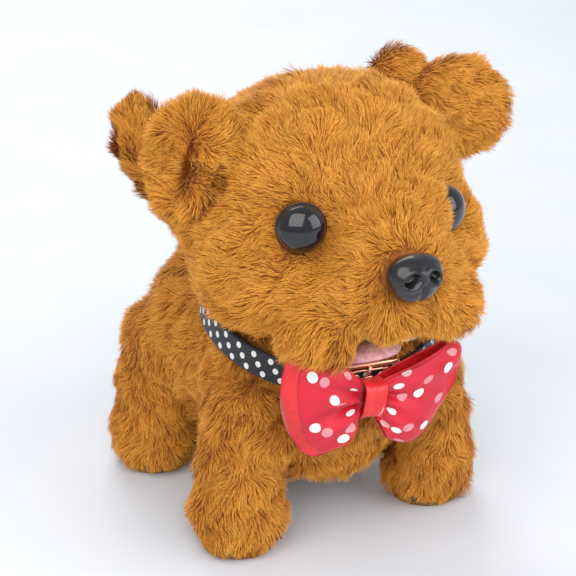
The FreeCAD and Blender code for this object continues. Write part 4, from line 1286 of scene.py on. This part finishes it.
def make_body():
    skin = coated(body_skin())
    declared(skin, "toy_body", ["body_plush"])
    for seed, (part, (front, back)) in enumerate(BODY_PARTS.items(), 41):
        def here(p, n):
            return (p[:, 1] >= front) & (p[:, 1] < back) & ~(over_plate(p, 0.8) & (p[:, 2] < 40))
        hair = fur("fur_" + part, skin, 3.6, even_length(5.2), body_comb, seed,
                   keep=here, clear=clear_of_collar)
        declared(hair, "toy_body")


def make_legs():
    places = itertools.product((("front", HIP_FRONT_Y), ("back", HIP_BACK_Y)), (("left", 1), ("right", -1)))
    for number, ((end, y), (side, sign)) in enumerate(places):
        where = f"{end}_{side}"
        skin = coated(leg_skin("leg_skin_" + where, sign, y))
        seed = 52 + 2 * number
        hair = fur("fur_leg_" + where, skin, 3.6, even_length(4.8), leg_comb(sign, y), seed)
        across_hip = (sign * LEG_X, y, 60), (sign * LEG_X, y, 38)
        declared(skin, "leg_" + where, ["leg_plush_" + where], blend=across_hip)
        declared(hair, "leg_" + where, blend=across_hip)


def make_tail():
    skin = coated(tail_skin())
    hair = fur("fur_tail", skin, 4.6, even_length(5.2), tail_comb, 71, lean=(38, 54, 64))
    across_root = (0, 56, 64), (-4, 62, 80)
    declared(skin, "tail", ["tail_plush"], blend=across_root)
    declared(hair, "tail", blend=across_root)


def make_trimmings():
    strap = declared(collar_strap(), "toy_body", ["collar_strap"])
    declared(buckle_piece(), "toy_body", ["collar_buckle"])
    for sign in (-1, 1):
        ribbon = declared(satin_lobe(sign), "toy_body", ["bow_ribbon"])
        sheer = declared(organza_lobe(sign), "toy_body", ["bow_overlay"])
    declared(organza_dots(0), "toy_body")
    declared(organza_dots(1), "toy_body")
    knot = declared(knot_piece(), "toy_body", ["bow_knot"])
    declared(knot_seam_highlight(), "toy_body")


# ---------------------------------------------------------------- camera and light

CAMERA_TURN = -28.2
CAMERA_RISE = 23.9
CAMERA_FAR = 0.6309
CAMERA_LENS = 120.54
CAMERA_TARGET = (-2.2, -3.2, 79.5)


def make_camera():
    a, e = math.radians(CAMERA_TURN), math.radians(CAMERA_RISE)
    back = Vector((math.sin(a) * math.cos(e), -math.cos(a) * math.cos(e), math.sin(e)))
    data = bpy.data.cameras.new("camera")
    data.sensor_width = 36
    data.lens = CAMERA_LENS
    data.clip_start = 0.01
    data.clip_end = 50
    data.dof.use_dof = False
    place = Vector(to_frame(CAMERA_TARGET)) + back * CAMERA_FAR
    bpy.context.scene.camera = aimed(placed("camera", data), place, -back)


def area_light(name, place, size, power, colour=(1, 1, 1)):
    """A soft square light aimed at the toy."""
    data = bpy.data.lights.new(name, "AREA")
    data.size = size
    data.energy = power
    data.color = colour
    aimed(placed(name, data), place, Vector(to_frame((0, 0, 80))) - Vector(place))


FLOOR_RADIUS = 4


def make_stage():
    """A pale round floor, an even pale sky and three soft lights."""
    scene = bpy.context.scene
    scene.view_settings.view_transform = "Standard"
    world = bpy.data.worlds.new("studio")
    world.use_nodes = True
    sky = world.node_tree.nodes["Background"].inputs
    sky["Color"].default_value = (0.86, 0.91, 1.0, 1)
    sky["Strength"].default_value = 0.62
    scene.world = world
    floor = bpy.data.meshes.new("floor")
    ring = [(FLOOR_RADIUS * math.cos(a), FLOOR_RADIUS * math.sin(a), 0) for a in circle(96)]
    floor.from_pydata(ring, [], [tuple(range(len(ring)))])
    pale = principled("pale_floor", (0.72, 0.74, 0.78), 0.6)
    floor.materials.append(mottled(pale, (0.70, 0.725, 0.765), (0.73, 0.75, 0.785), 60.0))
    placed("floor", floor)
    area_light("key", (-0.50, -0.52, 0.72), 0.95, 8.2, (1.0, 0.97, 0.93))
    area_light("fill", (0.55, -0.75, 0.50), 0.8, 5.0, (0.97, 0.98, 1.0))
    area_light("rim", (0.15, 0.75, 0.65), 0.6, 4.0)


make_camera()
dress_cad_nodes()
make_head()
make_ears()
make_jaw()
make_body()
make_legs()
make_tail()
make_trimmings()
make_stage()
